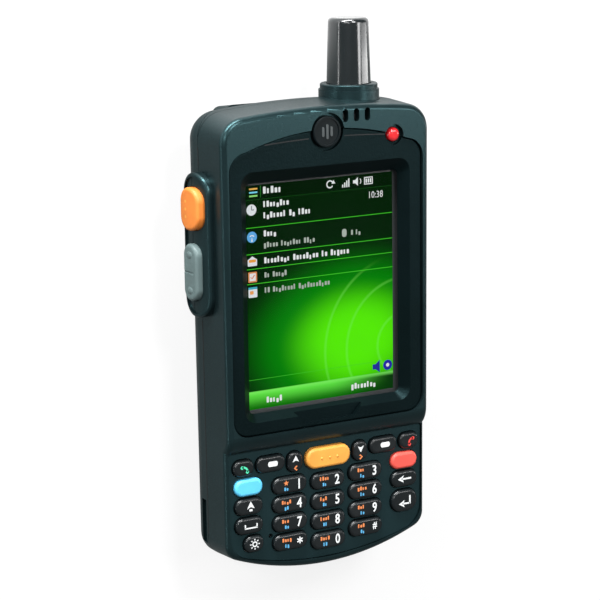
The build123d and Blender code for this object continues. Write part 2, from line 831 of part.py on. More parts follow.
rear = rear_outer + hump_form()
rear -= rear_inner
rear -= hump_form(hump_wall) & half_space(0, inside_back + 3)
inside_floor = inside_back - 0.5
fittings = slab(bay_outline(bay_gap + bay_wall), back_level + 0.5, bay_ceiling + bay_wall)
fittings += both_sides(box(switch_wall_x, switch_wall_x + switch_wall, action_y - 14, trigger_y + 9,
                           inside_floor, switch_wall_level))
for x, y in ((post_x, -bay_gap), (post_x, -cell_foot_reach / 2)):
    fittings += both_sides(rod(post_radius, x, y, bay_ceiling + bay_wall - 0.5, board_level))
fittings += both_sides(rod(post_radius, post_x, board_top_reach - 6, inside_floor, board_level))
for x, y in screw_places():
    fittings += both_sides(rod(screw_head_radius + boss_wall, x, y, inside_floor, parting_level - seam_gap / 2))
rear += fittings & (rear_form() + half_space(parting_level - 1, front_level) + slab(bay_outline(5), 0, front_level))
rear -= slab(bay_outline(bay_gap), back_level - 1, bay_ceiling)
rear -= cap_region(piece_gap)
rear -= boss_form(piece_gap)
rear -= pod_cut
rear -= connector_way
cradle = box(body_half_width - cradle_slot_depth - 0.6, body_half_width + 2,
             -cradle_slot_y - cradle_slot_length / 2, -cradle_slot_y + cradle_slot_length / 2,
             cradle_slot_level - cradle_slot_height / 2, cradle_slot_level + cradle_slot_height / 2)
rear -= both_sides(cradle)

# scan window: a stepped opening in the hump's end
window_hole = Pos(window_x, window_level) * RectangleRounded(
    window_width - 2 * window_ledge, window_height - 2 * window_ledge, 0.8)
window_seat = Pos(window_x, window_level) * RectangleRounded(
    window_width + 2 * piece_gap, window_height + 2 * piece_gap, 1.0 + piece_gap)
window_plate = Pos(window_x, window_level) * RectangleRounded(window_width, window_height, 1.0)
window_floor = hump_reach - window_sink - window_thickness - 1.0
rear -= end_slab(window_hole, hump_reach - 8, hump_reach + 3)
rear -= end_slab(window_seat, window_floor, hump_reach + 3)

# loudspeaker grille
for place in range(grille_count):
    y = speaker_y + (place - (grille_count - 1) / 2) * grille_pitch
    rear -= slab(Pos(speaker_x, y) * SlotOverall(grille_length, grille_width), hump_level - 1, hump_level + hump_wall + 1)

# screw holes, sunk from the back
screw_seat = back_level + screw_sink
for x, y in screw_places():
    hole = rod(screw_radius + screw_gap, x, y, back_level - 10, parting_level + 1)
    hole += rod(screw_head_radius + screw_gap, x, y, back_level - 10, screw_seat + screw_head_height)
    rear -= both_sides(hole)
save(rear, "rear_housing")

screws = Part()
for x, y in screw_places():
    screw = rod(screw_head_radius, x, y, screw_seat, screw_seat + screw_head_height)
    screw += rod(screw_radius - screw_thread_gap, x, y, screw_seat, ceiling - screw_bite)
    socket = Pos(x, y) * RegularPolygon(screw_socket_radius, 6)
    screw -= slab(socket, screw_seat - 1, screw_seat + screw_head_height - screw_socket_floor)
    screws += both_sides(screw)
save(screws, "housing_screws")

# ---------------------------------------------------------------- scan engine, window, loudspeaker

save(end_slab(window_plate, window_floor, window_floor + window_thickness), "scan_window")

engine_back = hump_reach - engine_setback - engine_length
engine_low = hump_level + hump_wall
engine = box(window_x - engine_width / 2, window_x + engine_width / 2, engine_back, engine_back + engine_length,
             engine_low, engine_low + engine_height)
barrel = Pos(window_x + engine_width / 5, window_level) * Circle(lens_radius)
engine += end_slab(barrel, engine_back + engine_length, engine_back + engine_length + lens_length)
aimer = Pos(window_x - engine_width / 4, window_level) * RectangleRounded(aimer_width, aimer_height, 0.6)
engine += end_slab(aimer, engine_back + engine_length, engine_back + engine_length + lens_length / 2)
save(engine, "scan_engine")

speaker = rod(speaker_radius, speaker_x, speaker_y, engine_low, engine_low + speaker_thickness)
speaker += rod(speaker_magnet_radius, speaker_x, speaker_y, engine_low + speaker_thickness,
               engine_low + speaker_thickness + speaker_magnet_height)
save(speaker, "loudspeaker")

# ---------------------------------------------------------------- antenna

def along_antenna(profile):
    """A half profile in radius and reach, turned about the antenna's axis."""
    turned = revolve(Plane.XY * profile, Axis.Y)
    return Pos(antenna_x, 0, antenna_level) * turned


antenna_tip = collar_seat + antenna_length
cover_profile = make_face(Polyline((0, collar_seat), (antenna_foot_radius, collar_seat),
                                   (antenna_tip_radius, antenna_tip), (0, antenna_tip), close=True))
edge_corner = [v for v in cover_profile.vertices() if v.X > 1 and v.Y > antenna_tip - 1]
cover_profile = fillet(edge_corner, antenna_edge_radius)
cover = along_antenna(cover_profile)
bore = Pos(antenna_x, antenna_level) * Circle(antenna_bore_radius)
cover -= end_slab(bore, collar_seat - 1, antenna_tip - antenna_wall)
save(cover, "antenna_cover")

collar_profile = make_face(Polyline((antenna_foot_radius + piece_gap, collar_seat), (collar_radius, collar_seat),
                                    (collar_radius, collar_seat + collar_height),
                                    (antenna_foot_radius + piece_gap, collar_seat + collar_height), close=True))
outer_corner = [v for v in collar_profile.vertices() if v.X > collar_radius - 0.1 and v.Y > collar_seat + 0.1]
collar_profile = fillet(outer_corner, collar_edge_radius)
save(along_antenna(collar_profile), "antenna_collar")

core_radius = antenna_bore_radius - core_gap
core_length = antenna_length - antenna_wall - core_gap
core = end_slab(Pos(antenna_x, antenna_level) * Circle(core_radius), collar_seat, collar_seat + core_length)
core += end_slab(Pos(antenna_x, antenna_level) * Circle(core_tail_radius), collar_seat - core_tail, collar_seat)
turn_pitch = core_length / (core_turns + 1)
ring = (Circle(core_radius + 1) - Circle(core_radius - core_groove))
for turn in range(core_turns):
    reach = collar_seat + (turn + 0.75) * turn_pitch
    core -= end_slab(Pos(antenna_x, antenna_level) * ring, reach, reach + turn_pitch / 2)
save(core, "antenna_core")

# ---------------------------------------------------------------- side buttons

def side_button(outline, rise, inner_gap):
    """Right-hand side button: crowned face, body through the wall, retaining flange inside."""
    flange_outer = cavity_side - inner_gap
    flange_inner = flange_outer - flange_thickness
    body = side_slab(outline(), flange_inner, pod_reach + rise + 1)
    body = body & pod_crown(pod_reach + rise)
    rim = [edge for edge in body.edges() if edge.center().X > pod_reach - 1]
    body = fillet(rim, button_edge_radius)
    return body + side_slab(outline(flange_lap), flange_inner, flange_outer)


trigger = side_button(trigger_outline, trigger_rise, flange_gap)
save(trigger, "right_scan_button")
save(mirror(trigger, Plane.YZ), "scan_trigger")
save(side_button(action_outline, action_rise, flange_gap), "action_button")

rocker = mirror(side_button(rocker_outline, rocker_rise, rocker_flange_gap), Plane.YZ)
groove = Pos(-pod_reach - rocker_rise, rocker_y) * Circle(rocker_groove)
rocker -= slab(groove, rocker_level - rocker_height, rocker_level + rocker_height)
pivot_reach = rocker_height / 2 + rocker_pivot_length
rocker += rod(rocker_pivot_radius, -rocker_pivot_reach, rocker_y, rocker_level - pivot_reach,
              rocker_level + pivot_reach)
save(rocker, "volume_rocker")


def side_switch(y, level, button_inner, travel):
    """Switch body on the inner wall with a plunger that stops short of the pressed button."""
    seat = switch_wall_x + switch_wall
    tip = button_inner - travel - switch_air
    body = box(seat, tip - plunger_length, y - switch_length / 2, y + switch_length / 2,
               level - switch_height / 2, level + switch_height / 2)
    return body + side_slab(Pos(y, level) * Circle(plunger_radius), tip - plunger_length, tip)


button_inner = cavity_side - flange_gap - flange_thickness
rocker_inner = cavity_side - rocker_flange_gap - flange_thickness
right_switches = side_switch(trigger_y, trigger_level, button_inner, trigger_travel)
right_switches += side_switch(action_y, rocker_level, button_inner, trigger_travel)
left_switches = side_switch(trigger_y, trigger_level, button_inner, trigger_travel)
for end in (-1, 1):
    y = rocker_y + end * (rocker_length / 2 - switch_length / 2)
    left_switches += side_switch(y, rocker_level, rocker_inner, rocker_swing)
save(right_switches + mirror(left_switches, Plane.YZ), "side_switches")

# ---------------------------------------------------------------- battery pack and its latches

cover_high = back_level - battery_cover_gap
battery_length = battery_top_reach + battery_foot_reach
battery_middle = (battery_top_reach - battery_foot_reach) / 2
pack_cover = slab(rounded(2 * battery_half_width, battery_length, battery_corner_radius, 0, battery_middle), 0,
                  cover_high)
pack_cover = fillet(pack_cover.faces().sort_by(Axis.Z)[0].edges(), min(battery_edge_radius, battery_corner_radius - 0.2))
pack = pack_cover + slab(bay_outline(), cover_high, back_level + cell_rise)
latch_inner = battery_half_width - latch_depth
pocket = box(latch_inner - latch_travel - piece_gap, battery_half_width + 1,
             -latch_y - latch_length / 2 - button_gap, -latch_y + latch_length / 2 + button_gap,
             latch_level - latch_height / 2 - button_gap, latch_level + latch_height / 2 + button_gap)
pack -= both_sides(pocket)
save(pack, "battery_pack")

latch_outer = battery_half_width + latch_rise
latch = Pos((latch_inner + latch_outer) / 2, -latch_y, latch_level) * Box(latch_outer - latch_inner, latch_length,
                                                                       latch_height)
latch = fillet(latch.faces().sort_by(Axis.X)[-1].edges(), latch_edge_radius)
save(latch, "battery_latch_right")
save(mirror(latch, Plane.YZ), "battery_latch_left")

contacts = Part()
for place in range(contact_count):
    x = (place - (contact_count - 1) / 2) * contact_pitch
    contacts += box(x - contact_width / 2, x + contact_width / 2, cell_top_reach - 4 - contact_length,
                    cell_top_reach - 4, bay_ceiling - contact_thickness + 0.1, bay_ceiling)
save(contacts, "battery_contacts")

# ---------------------------------------------------------------- main board and foot connector

board_length = board_top_reach + board_foot_reach
board_middle = (board_top_reach - board_foot_reach) / 2
board = slab(rounded(2 * board_half_width, board_length, board_corner_radius, 0, board_middle), board_level,
             board_level + board_thickness)
board_top = board_level + board_thickness
for x_low, x_high, y_low, y_high, height in board_blocks:
    board += box(x_low, x_high, y_low, y_high, board_top, board_top + height)
save(board, "main_board")

shell = end_slab(connector_outline(), -connector_face_reach, -connector_face_reach + connector_depth)
connector_inside = -bottom_reach + front_wall + piece_gap + sag(bottom_crown_radius - front_wall,
                                                                connector_half_width + connector_flange)
connector = shell + end_slab(connector_outline(connector_flange), connector_inside, connector_inside + 1.0)
mouth_face = Pos(0, connector_level) * RectangleRounded(
    2 * (connector_half_width - connector_mouth_wall), connector_height - 2 * connector_mouth_wall, 0.8)
connector -= end_slab(mouth_face, -connector_face_reach - 1, -connector_face_reach + connector_mouth_depth)
save(connector, "io_connector")

pins = Part()
pin_seat = -connector_face_reach + connector_mouth_depth
for place in range(pin_count):
    x = (place - (pin_count - 1) / 2) * pin_pitch
    pins += box(x - pin_width / 2, x + pin_width / 2, pin_seat - pin_length, pin_seat,
                connector_level - pin_height / 2, connector_level + pin_height / 2)
save(pins, "io_contacts")
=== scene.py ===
import json
import math

import bpy
import numpy as np
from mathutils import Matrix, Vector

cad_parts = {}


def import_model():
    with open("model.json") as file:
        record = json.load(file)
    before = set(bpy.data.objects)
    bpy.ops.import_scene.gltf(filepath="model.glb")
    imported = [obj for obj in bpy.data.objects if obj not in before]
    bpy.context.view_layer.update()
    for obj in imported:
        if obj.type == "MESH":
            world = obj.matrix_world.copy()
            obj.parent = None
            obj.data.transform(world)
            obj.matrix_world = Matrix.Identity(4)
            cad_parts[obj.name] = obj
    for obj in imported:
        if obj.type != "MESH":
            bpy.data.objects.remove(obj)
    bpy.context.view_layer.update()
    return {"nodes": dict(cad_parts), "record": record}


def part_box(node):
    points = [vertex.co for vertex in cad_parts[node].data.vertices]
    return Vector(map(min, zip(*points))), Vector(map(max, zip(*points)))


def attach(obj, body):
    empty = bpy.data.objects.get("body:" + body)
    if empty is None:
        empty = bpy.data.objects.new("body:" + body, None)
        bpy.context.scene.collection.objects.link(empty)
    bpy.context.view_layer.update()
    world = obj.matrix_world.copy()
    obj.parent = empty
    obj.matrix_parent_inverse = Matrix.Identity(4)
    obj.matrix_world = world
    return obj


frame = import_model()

# Looks of a handheld barcode data terminal, lying on its back.
# Pieces are in the part's own frame, in metres: X right, Y towards the antenna, Z out of the display.
# Marks, bumps and bars are laid out in millimetres, and become metres when their meshes are made.
MM = 0.001

# Body, in millimetres from the display's centre
SIDE_TOP = 38.1                 # half widths of the body on the parting line, at both ends
SIDE_FOOT = 37.3
END_REACH = 59.6                # where those half widths are measured
FOOT_REACH = 90.2
PARTING_LEVEL = 24.0
SEAM_WIDTH = 0.42
SEAM_PROUD = 0.03               # how far the seam's dark bar stands out of the side
SEAM_SUNK = 0.1                 # and how deep it sits in it
SEAM_STRETCHES = ((-76.5, -7.0), (41.5, 47.5))
BROW_PEAK = 49.1                # top of the bezel's crown
BROW_SPREAD = 600.0             # the crown falls by the square of the way across, divided by this
BROW_STRETCHES = ((-22.0, -6.4), (6.4, 21.2))
WINDOW_MIDDLE = -7.0            # the scan window's middle along X

# Picture on the display, in millimetres from its centre
DISPLAY_WIDTH = 53.28
DISPLAY_LENGTH = 71.04
GLOW_CENTRE = (12.5, -17.5)
GLOW_REACH = (41.0, 29.0)
ARC_CENTRE = (31.0, -21.0)
ARC_RADII = (10.2, 21.8, 29.8)
TITLE_LINE = 31.0               # foot of the title bar
TITLE_MIDDLE = 33.4
ROW_LINES = (22.3, 14.0, 9.3, 4.6)
TRAY_LINE = -26.0
SOFT_KEY_LINE = -29.9           # top of the soft key bar
SOFT_KEY_RISE = (-35.5, -29.8)  # the bar lightens along this stretch of Y
SOFT_KEY_FADE = (2.0, 27.0)     # and darkens along this stretch of X
SIGN_COLUMN = -24.6             # middle of the signs at the rows' beginning
TEXT_COLUMN = -20.4             # where lines of type begin

# Print and small raised details, in millimetres
INK_LIFT = 0.03                 # print stands this far over the cap that carries it
OVERLAP = 0.01                  # step between marks that lie over each other
PRINT_GAP = 0.005               # between a face and the foot of the print on it
RELIEF_DEPTH = 0.36             # the emblem's sign begins this far under the disc's highest level
RELIEF_HEIGHT = 0.3
CIRCLE_STEPS = 28
STROKE_STEPS = 14
DOME_RINGS = 8

# Inks and lit colours, linear, from print to the display's greens
BLACK = (0.0, 0.0, 0.0)
WHITE = (0.83, 0.86, 0.86)
PALE = (0.42, 0.48, 0.42)
PAPER = (0.78, 0.82, 0.84)
ORANGE = (0.80, 0.25, 0.08)
BLUE = (0.10, 0.42, 0.72)
GREEN = (0.09, 0.80, 0.46)
RED = (0.85, 0.06, 0.05)
GLOW_DARK = (0.0002, 0.013, 0.0002)
GLOW_GREEN = (0.0, 0.22, 0.0)
GLOW_BRIGHT = (0.095, 0.86, 0.0)
ARC_GREEN = (0.22, 0.90, 0.10)
TITLE_DARK = (0.0, 0.006, 0.0)
BAR_DARK = (0.003, 0.16, 0.0)
BAR_GREEN = (0.12, 0.80, 0.06)
BAR_END = (0.0, 0.035, 0.0)
BAR_LIP = (0.2, 0.86, 0.12)

# Light
PURE_WHITE = (1.0, 1.0, 1.0, 1.0)
PICTURE_LIGHT = 1.08            # strength of the lit display
MIRRORED_SHARE = 0.16           # how bright the white surroundings are in a mirroring surface
FILL_LIGHT = 0.10               # even light from all sides, beside the softboxes
FLOOR_HALF = 3.0                # metres
FLOOR_LEVEL = -0.0002
FLOOR_PALE = (0.93, 0.93, 0.93)
FLOOR_CLOUD = (0.95, 0.95, 0.95)
FLOOR_WHITE = 0.82              # share of plain white in the floor; the rest keeps the shadow
FLOOR_BOUNCE = (0.16, 0.18, 0.18)   # floor colour in the light that it throws back onto the object
CARD_BOUNCE = (0.93, 0.93, 0.93)    # the same behind the antenna end, as from a white card
CARD_EDGE = (60.0, 85.0)        # the card begins here, in millimetres from the display's centre

# Camera: metres, degrees, and pixels of a frame 600 pixels wide
CAMERA_PLACE = (-0.34477, 0.14005, 0.62039)
CAMERA_TURNS = (-11.4222, -30.0062, -0.9112)
FRAME_HALF = 300
FOCAL_LENGTH = 2200


# ---------------------------------------------------------------- shader nodes

class Value:
    """A shader socket that can be used in plain maths; each operation adds one Math node."""

    def __init__(self, nodes, socket):
        self.nodes = nodes
        self.socket = socket

    def maths(self, operation, *terms):
        """One Math node over the terms, in their order."""
        return self.nodes.node("ShaderNodeMath", {"operation": operation}, dict(enumerate(terms))).out()

    def __add__(self, other):
        return self.maths("ADD", self, other)

    def __radd__(self, other):
        return self.maths("ADD", other, self)

    def __sub__(self, other):
        return self.maths("SUBTRACT", self, other)

    def __rsub__(self, other):
        return self.maths("SUBTRACT", other, self)

    def __mul__(self, other):
        return self.maths("MULTIPLY", self, other)

    def __rmul__(self, other):
        return self.maths("MULTIPLY", other, self)

    def __truediv__(self, other):
        return self.maths("DIVIDE", self, other)

    def __rtruediv__(self, other):
        return self.maths("DIVIDE", other, self)

    def power(self, exponent):
        """This value raised to a power."""
        return self.maths("POWER", self, exponent)

    def most(self, other):
        """The larger of two values."""
        return self.maths("MAXIMUM", self, other)

    def wave(self):
        """Sine of this value."""
        return self.maths("SINE", self)

    def size(self):
        """This value without its sign."""
        return self.maths("ABSOLUTE", self)

    def ramp(self, low, high, start=0.0, end=1.0):
        """Runs smoothly from start to end while this value runs from low to high."""
        return self.nodes.node("ShaderNodeMapRange", {"interpolation_type": "SMOOTHSTEP"},
                               {"Value": self, "From Min": low, "From Max": high,
                                "To Min": start, "To Max": end}).out()


class Node:
    """One shader node and its outputs."""

    def __init__(self, nodes, made):
        self.nodes = nodes
        self.made = made

    def out(self, key=0):
        """One output, by its number or name."""
        return Value(self.nodes, self.made.outputs[key])


class Nodes:
    """A node tree, emptied first; every node in it comes from one method."""

    def __init__(self, tree):
        self.tree = tree
        tree.nodes.clear()

    def feed(self, socket, value):
        """Links an earlier output to a socket, or sets a plain value on it."""
        if isinstance(value, Value):
            self.tree.links.new(value.socket, socket)
        else:
            socket.default_value = value

    def node(self, kind, settings, inputs):
        """Any node: its settings first, then the values or earlier outputs at its sockets."""
        made = self.tree.nodes.new(kind)
        for key, setting in settings.items():
            setattr(made, key, setting)
        for key, value in inputs.items():
            self.feed(made.inputs[key], value)
        return Node(self, made)

    def backdrop_share(self, share):
        """How much plain white a ray sees: share of it for the eye and glass, less in mirrored light."""
        path = self.node("ShaderNodeLightPath", {}, {})
        mirrored = path.out("Is Glossy Ray") * MIRRORED_SHARE
        return path.out("Is Camera Ray").most(path.out("Is Transmission Ray")).most(mirrored) * share


class Finish(Nodes):
    """A node material with one Principled shader."""

    def __init__(self, name, colour, roughness, metallic=0.0, specular=0.5):
        self.material = bpy.data.materials.new(name)
        self.material.use_nodes = True
        super().__init__(self.material.node_tree)
        self.shader = self.node("ShaderNodeBsdfPrincipled", {}, {
            "Base Color": (*colour, 1.0), "Roughness": roughness, "Metallic": metallic,
            "Specular IOR Level": specular})
        self.end = self.node("ShaderNodeOutputMaterial", {}, {"Surface": self.shader.out()})

    def put(self, **values):
        """Sets or links the Principled shader's sockets, named with underscores."""
        for key, value in values.items():
            self.feed(self.shader.made.inputs[key.replace("_", " ")], value)
        return self

    def place(self):
        """Object coordinates as a vector."""
        return self.node("ShaderNodeTexCoord", {}, {}).out("Object")

    def coordinate(self, axis, scale=1 / MM):
        """Object coordinate along X, Y or Z, in millimetres unless another scale is given."""
        split = self.node("ShaderNodeSeparateXYZ", {}, {0: self.place()})
        return split.out(axis) * scale

    def noise(self, scale, detail=2.0, roughness=0.5, seed=0.0):
        """Cloudy noise from 0 to 1; scale is in features per metre."""
        moved = self.node("ShaderNodeVectorMath", {"operation": "ADD"},
                          {0: self.place(), 1: (seed, seed, seed)})
        return self.node("ShaderNodeTexNoise", {}, {"Vector": moved.out(), "Scale": scale,
                                                    "Detail": detail, "Roughness": roughness}).out()

    def cells(self, scale):
        """Distance to the nearest cell point; scale is in cells per metre."""
        cell = self.node("ShaderNodeTexVoronoi", {}, {"Vector": self.place(), "Scale": scale})
        return cell.out("Distance")

    def mix(self, factor, first, second):
        """Blends two colours, each given as three numbers or as an earlier output."""
        first, second = (colour if isinstance(colour, Value) else (*colour, 1.0)
                         for colour in (first, second))
        return self.node("ShaderNodeMix", {"data_type": "RGBA"}, {0: factor, 6: first, 7: second}).out(2)

    def bump(self, height, distance):
        """Raises the surface by height times distance, in metres."""
        made = self.node("ShaderNodeBump", {}, {"Height": height, "Distance": distance, "Strength": 1.0})
        return self.put(Normal=made.out())


# ---------------------------------------------------------------- finishes

def scaled(colour, share):
    """A colour times a share, with no part over 1."""
    return tuple(min(1.0, part * share) for part in colour)


def moulded(name, colour, roughness, grain=2600.0, depth=0.000008, specular=0.5, wear=1.6,
            tint=(1.0, 1.0, 1.0)):
    """Moulded plastic: fine spark-eroded grain, cloudy gloss, and a few pale rubbed places."""
    finish = Finish(name, colour, roughness, specular=specular)
    cloud = finish.noise(70.0, 3.0)
    fine = finish.noise(grain, 3.0, 0.6, seed=0.3)
    rub = finish.noise(260.0, 5.0, 0.7, seed=0.7).ramp(0.63, 0.76) * cloud.ramp(0.48, 0.62)
    shade = finish.mix(cloud.ramp(0.3, 0.7), scaled(colour, 0.88), scaled(colour, 1.12))
    shade = finish.mix(rub * 0.35, shade, scaled(colour, wear))
    finish.put(Base_Color=shade, Roughness=roughness + (fine - 0.5) * 0.16 + rub * 0.06,
               Specular_Tint=(*tint, 1.0))
    return finish.bump(fine, depth)


def glossy(name, colour, roughness, specular=0.5, coat=0.0):
    """Smooth plastic with a faint ripple, handling marks and fine dust in its gloss."""
    finish = Finish(name, colour, roughness, specular=specular)
    smear = finish.noise(45.0, 4.0, 0.6)
    dust = finish.noise(3200.0, 2.0, 0.5, seed=0.2).ramp(0.66, 0.8)
    finish.put(Base_Color=finish.mix(dust * 0.3, colour, scaled(colour, 2.2)), Coat_Weight=coat,
               Roughness=smear.ramp(0.3, 0.75, roughness * 0.8, roughness * 1.35) + dust * 0.15)
    return finish.bump(smear, 0.00002)


def metal(name, colour, roughness):
    """Metal with streaks drawn along Y and a slight tarnish."""
    finish = Finish(name, colour, roughness, metallic=1.0)
    drawn = finish.node("ShaderNodeVectorMath", {"operation": "MULTIPLY"},
                        {0: finish.place(), 1: (900.0, 60.0, 900.0)}).out()
    streaks = finish.node("ShaderNodeTexNoise", {}, {"Vector": drawn, "Scale": 1.0, "Detail": 3.0}).out()
    tarnish = finish.noise(300.0, 4.0, 0.6)
    finish.put(Base_Color=finish.mix(tarnish.ramp(0.45, 0.75), colour, scaled(colour, 0.7)),
               Roughness=streaks.ramp(0.3, 0.7, roughness * 0.7, roughness * 1.4))
    return finish.bump(streaks, 0.00001)


def circuit():
    """Circuit board: green mask over fine tracks and pads."""
    finish = Finish("circuit_green", (0.015, 0.11, 0.04), 0.35)
    x = finish.coordinate("X")
    tracks = (x * 4.2 + finish.noise(240.0) * 6.0).wave().ramp(0.55, 0.75)
    pads = finish.cells(480.0).ramp(0.14, 0.19, 1.0, 0.0)
    base = finish.mix(tracks * 0.55, (0.012, 0.09, 0.035), (0.03, 0.22, 0.09))
    finish.put(Base_Color=finish.mix(pads, base, (0.55, 0.45, 0.2)), Roughness=0.42 - pads * 0.12)
    return finish.bump(tracks, 0.00002)


def clear_panel():
    """Clear touch panel: nearly all light passes, with a faint smear in its gloss."""
    finish = Finish("touch_glass", (0.02, 0.03, 0.03), 0.08)
    smear = finish.noise(60.0, 4.0, 0.6)
    finish.put(Alpha=smear.ramp(0.3, 0.8, 0.03, 0.05), Roughness=smear.ramp(0.3, 0.8, 0.05, 0.14))
    return finish.bump(smear, 0.00001)


def tinted_window():
    """Dark red scan window, glossy, darker towards both ends."""
    finish = Finish("scan_glass", (0.05, 0.004, 0.006), 0.06, specular=0.6)
    x = finish.coordinate("X")
    edge = (x - WINDOW_MIDDLE).size().ramp(8.0, 12.0)
    finish.put(Base_Color=finish.mix(edge, (0.045, 0.002, 0.004), (0.012, 0.001, 0.002)),
               Roughness=finish.noise(90.0).ramp(0.3, 0.8, 0.04, 0.12))
    return finish.bump(finish.noise(400.0), 0.00001)


def speaker_mesh():
    """Fine woven metal mesh over a speaker: crossing wires with dark holes."""
    finish = Finish("speaker_mesh", (0.02, 0.02, 0.02), 0.5, metallic=0.6)
    x, y = (finish.coordinate(axis, 9 / MM) for axis in "XY")
    weave = x.wave() * y.wave()
    finish.put(Base_Color=finish.mix(weave.ramp(-0.4, 0.4), (0.006, 0.006, 0.006), (0.07, 0.07, 0.07)),
               Roughness=weave.ramp(-0.5, 0.5, 0.7, 0.35))
    return finish.bump(weave, 0.00003)


def inked(name, lit=0.0):
    """Print or lit marks: colour from the mesh's own ink attribute, slightly worn."""
    finish = Finish(name, WHITE, 0.5)
    ink = finish.node("ShaderNodeAttribute", {"attribute_name": "ink"}, {}).out("Color")
    worn = finish.noise(2400.0, 3.0, 0.6).ramp(0.3, 0.75, 1.0, 0.86)
    shade = finish.mix(worn, BLACK, ink)
    if lit:
        finish.put(Base_Color=(*BLACK, 1.0), Emission_Color=shade, Emission_Strength=lit, Roughness=0.3,
                   Specular_IOR_Level=0.0)
    else:
        finish.put(Base_Color=shade, Roughness=worn.ramp(0.86, 1.0, 0.62, 0.45))
    return finish.bump(worn, 0.00001)


def length_of(across, along):
    """Length of a vector in plan: the square root of the sum of the squares of its two parts."""
    return (across * across + along * along).power(0.5)


def lit_green():
    """Lit background of the display: a green glow low on the right with three faint arcs, and dark above.

    The glow falls smoothly with the distance from GLOW_CENTRE, measured in its reach along X and along Y.
    """
    finish = Finish("display_picture", BLACK, 0.3, specular=0.0)
    x, y = (finish.coordinate(axis) for axis in "XY")
    distance = length_of((x - GLOW_CENTRE[0]) / GLOW_REACH[0], (y - GLOW_CENTRE[1]) / GLOW_REACH[1])
    glow = distance.ramp(0.05, 1.3, 1.0, 0.0)
    shade = finish.mix(glow.ramp(0.0, 0.55), GLOW_DARK, GLOW_GREEN)
    shade = finish.mix(glow.ramp(0.45, 1.0), shade, GLOW_BRIGHT)

    away = length_of(x - ARC_CENTRE[0], y - ARC_CENTRE[1])
    arcs = sum((away - radius).size().ramp(0.15, 0.7, 1.0, 0.0) for radius in ARC_RADII)
    shade = finish.mix(arcs * glow.ramp(0.2, 0.6) * 0.24, shade, ARC_GREEN)

    title = y.ramp(TITLE_LINE - 0.4, TITLE_LINE)
    shade = finish.mix(title * 0.55, shade, TITLE_DARK)
    bar = finish.mix(y.ramp(*SOFT_KEY_RISE), BAR_DARK, BAR_GREEN)
    bar = finish.mix(x.ramp(*SOFT_KEY_FADE), bar, BAR_END)
    soft_keys = y.ramp(SOFT_KEY_LINE, SOFT_KEY_LINE + 0.3, 1.0, 0.0)
    lip = y.ramp(SOFT_KEY_LINE - 1.4, SOFT_KEY_LINE) * soft_keys
    bar = finish.mix(lip * 0.75, bar, BAR_LIP)
    shade = finish.mix(soft_keys, shade, bar)

    raster = (x * 26.0).wave() * 0.04 + (y * 26.0).wave() * 0.04 + 0.94
    shade = finish.mix(raster, BLACK, shade)
    return finish.put(Emission_Color=shade, Emission_Strength=PICTURE_LIGHT)


COOL = (0.44, 0.93, 1.0)        # highlights of the dark plastics lean to blue-green
FINISHES = {
    "housing": moulded("housing_plastic", (0.0042, 0.0088, 0.0098), 0.30, tint=COOL),
    "bezel": moulded("bezel_plastic", (0.0012, 0.0030, 0.0034), 0.38, grain=1500.0, depth=0.00005,
                     specular=0.14, tint=COOL),
    "panel": moulded("panel_plastic", (0.0035, 0.0090, 0.0105), 0.46, specular=0.42, tint=COOL),
    "collar_plastic": moulded("collar_satin", (0.004, 0.008, 0.009), 0.30, specular=0.4, tint=COOL),
    "battery_plastic": moulded("battery_black", (0.020, 0.025, 0.027), 0.5),
    "latch_plastic": moulded("latch_black", (0.035, 0.04, 0.042), 0.45, grain=1500.0),
    "switch_plastic": moulded("switch_black", (0.03, 0.03, 0.03), 0.5),
    "connector_plastic": moulded("connector_black", (0.014, 0.014, 0.016), 0.48),
    "engine_metal": moulded("anodised_black", (0.03, 0.03, 0.032), 0.35, grain=3600.0),
    "rubber": moulded("foam_rubber", (0.015, 0.016, 0.016), 0.8, grain=1500.0, depth=0.00006),
    "membrane": moulded("silicone_rubber", (0.16, 0.17, 0.17), 0.65, grain=1200.0),
    "orange_button": moulded("button_orange", (0.76, 0.22, 0.035), 0.48, grain=2200.0, wear=1.1),
    "grey_button": moulded("button_grey", (0.115, 0.165, 0.165), 0.45, grain=2200.0),
    "orange_key": moulded("key_orange", (0.86, 0.37, 0.06), 0.42, wear=1.08),
    "blue_key": moulded("key_blue", (0.105, 0.54, 0.83), 0.42, wear=1.1),
    "red_key": moulded("key_red", (0.86, 0.10, 0.075), 0.42, wear=1.05),
    "key_black": glossy("key_black", (0.0045, 0.007, 0.008), 0.28),
    "antenna_plastic": glossy("antenna_gloss", (0.004, 0.007, 0.008), 0.16, specular=0.9),
    "emblem": glossy("emblem_satin", (0.003, 0.006, 0.007), 0.3, specular=0.12),
    "display": glossy("display_frame", (0.03, 0.032, 0.034), 0.4),
    "red_lens": glossy("indicator_red", (0.62, 0.015, 0.02), 0.12, coat=0.8),
    "touch_glass": clear_panel(),
    "scan_glass": tinted_window(),
    "speaker_black": speaker_mesh(),
    "circuit_board": circuit(),
    "plated_metal": metal("plated_can", (0.62, 0.62, 0.6), 0.35),
    "brass": metal("turned_brass", (0.72, 0.52, 0.22), 0.3),
    "gold_contact": metal("gold_plate", (0.86, 0.62, 0.24), 0.22),
    "screw_steel": metal("dark_steel", (0.16, 0.16, 0.17), 0.35),
}

for part in frame["record"]["subparts"]:
    mesh = frame["nodes"][part["node"]].data
    mesh.materials.clear()
    mesh.materials.append(FINISHES[part["material_slot"]].material)


# ---------------------------------------------------------------- places and pieces

def node_box(name):
    """Lowest and highest corners of a CAD node, in millimetres."""
    return [np.array(corner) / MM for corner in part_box(name)]


def node_top(name):
    """Highest level of a CAD node, in millimetres."""
    return node_box(name)[1][2]


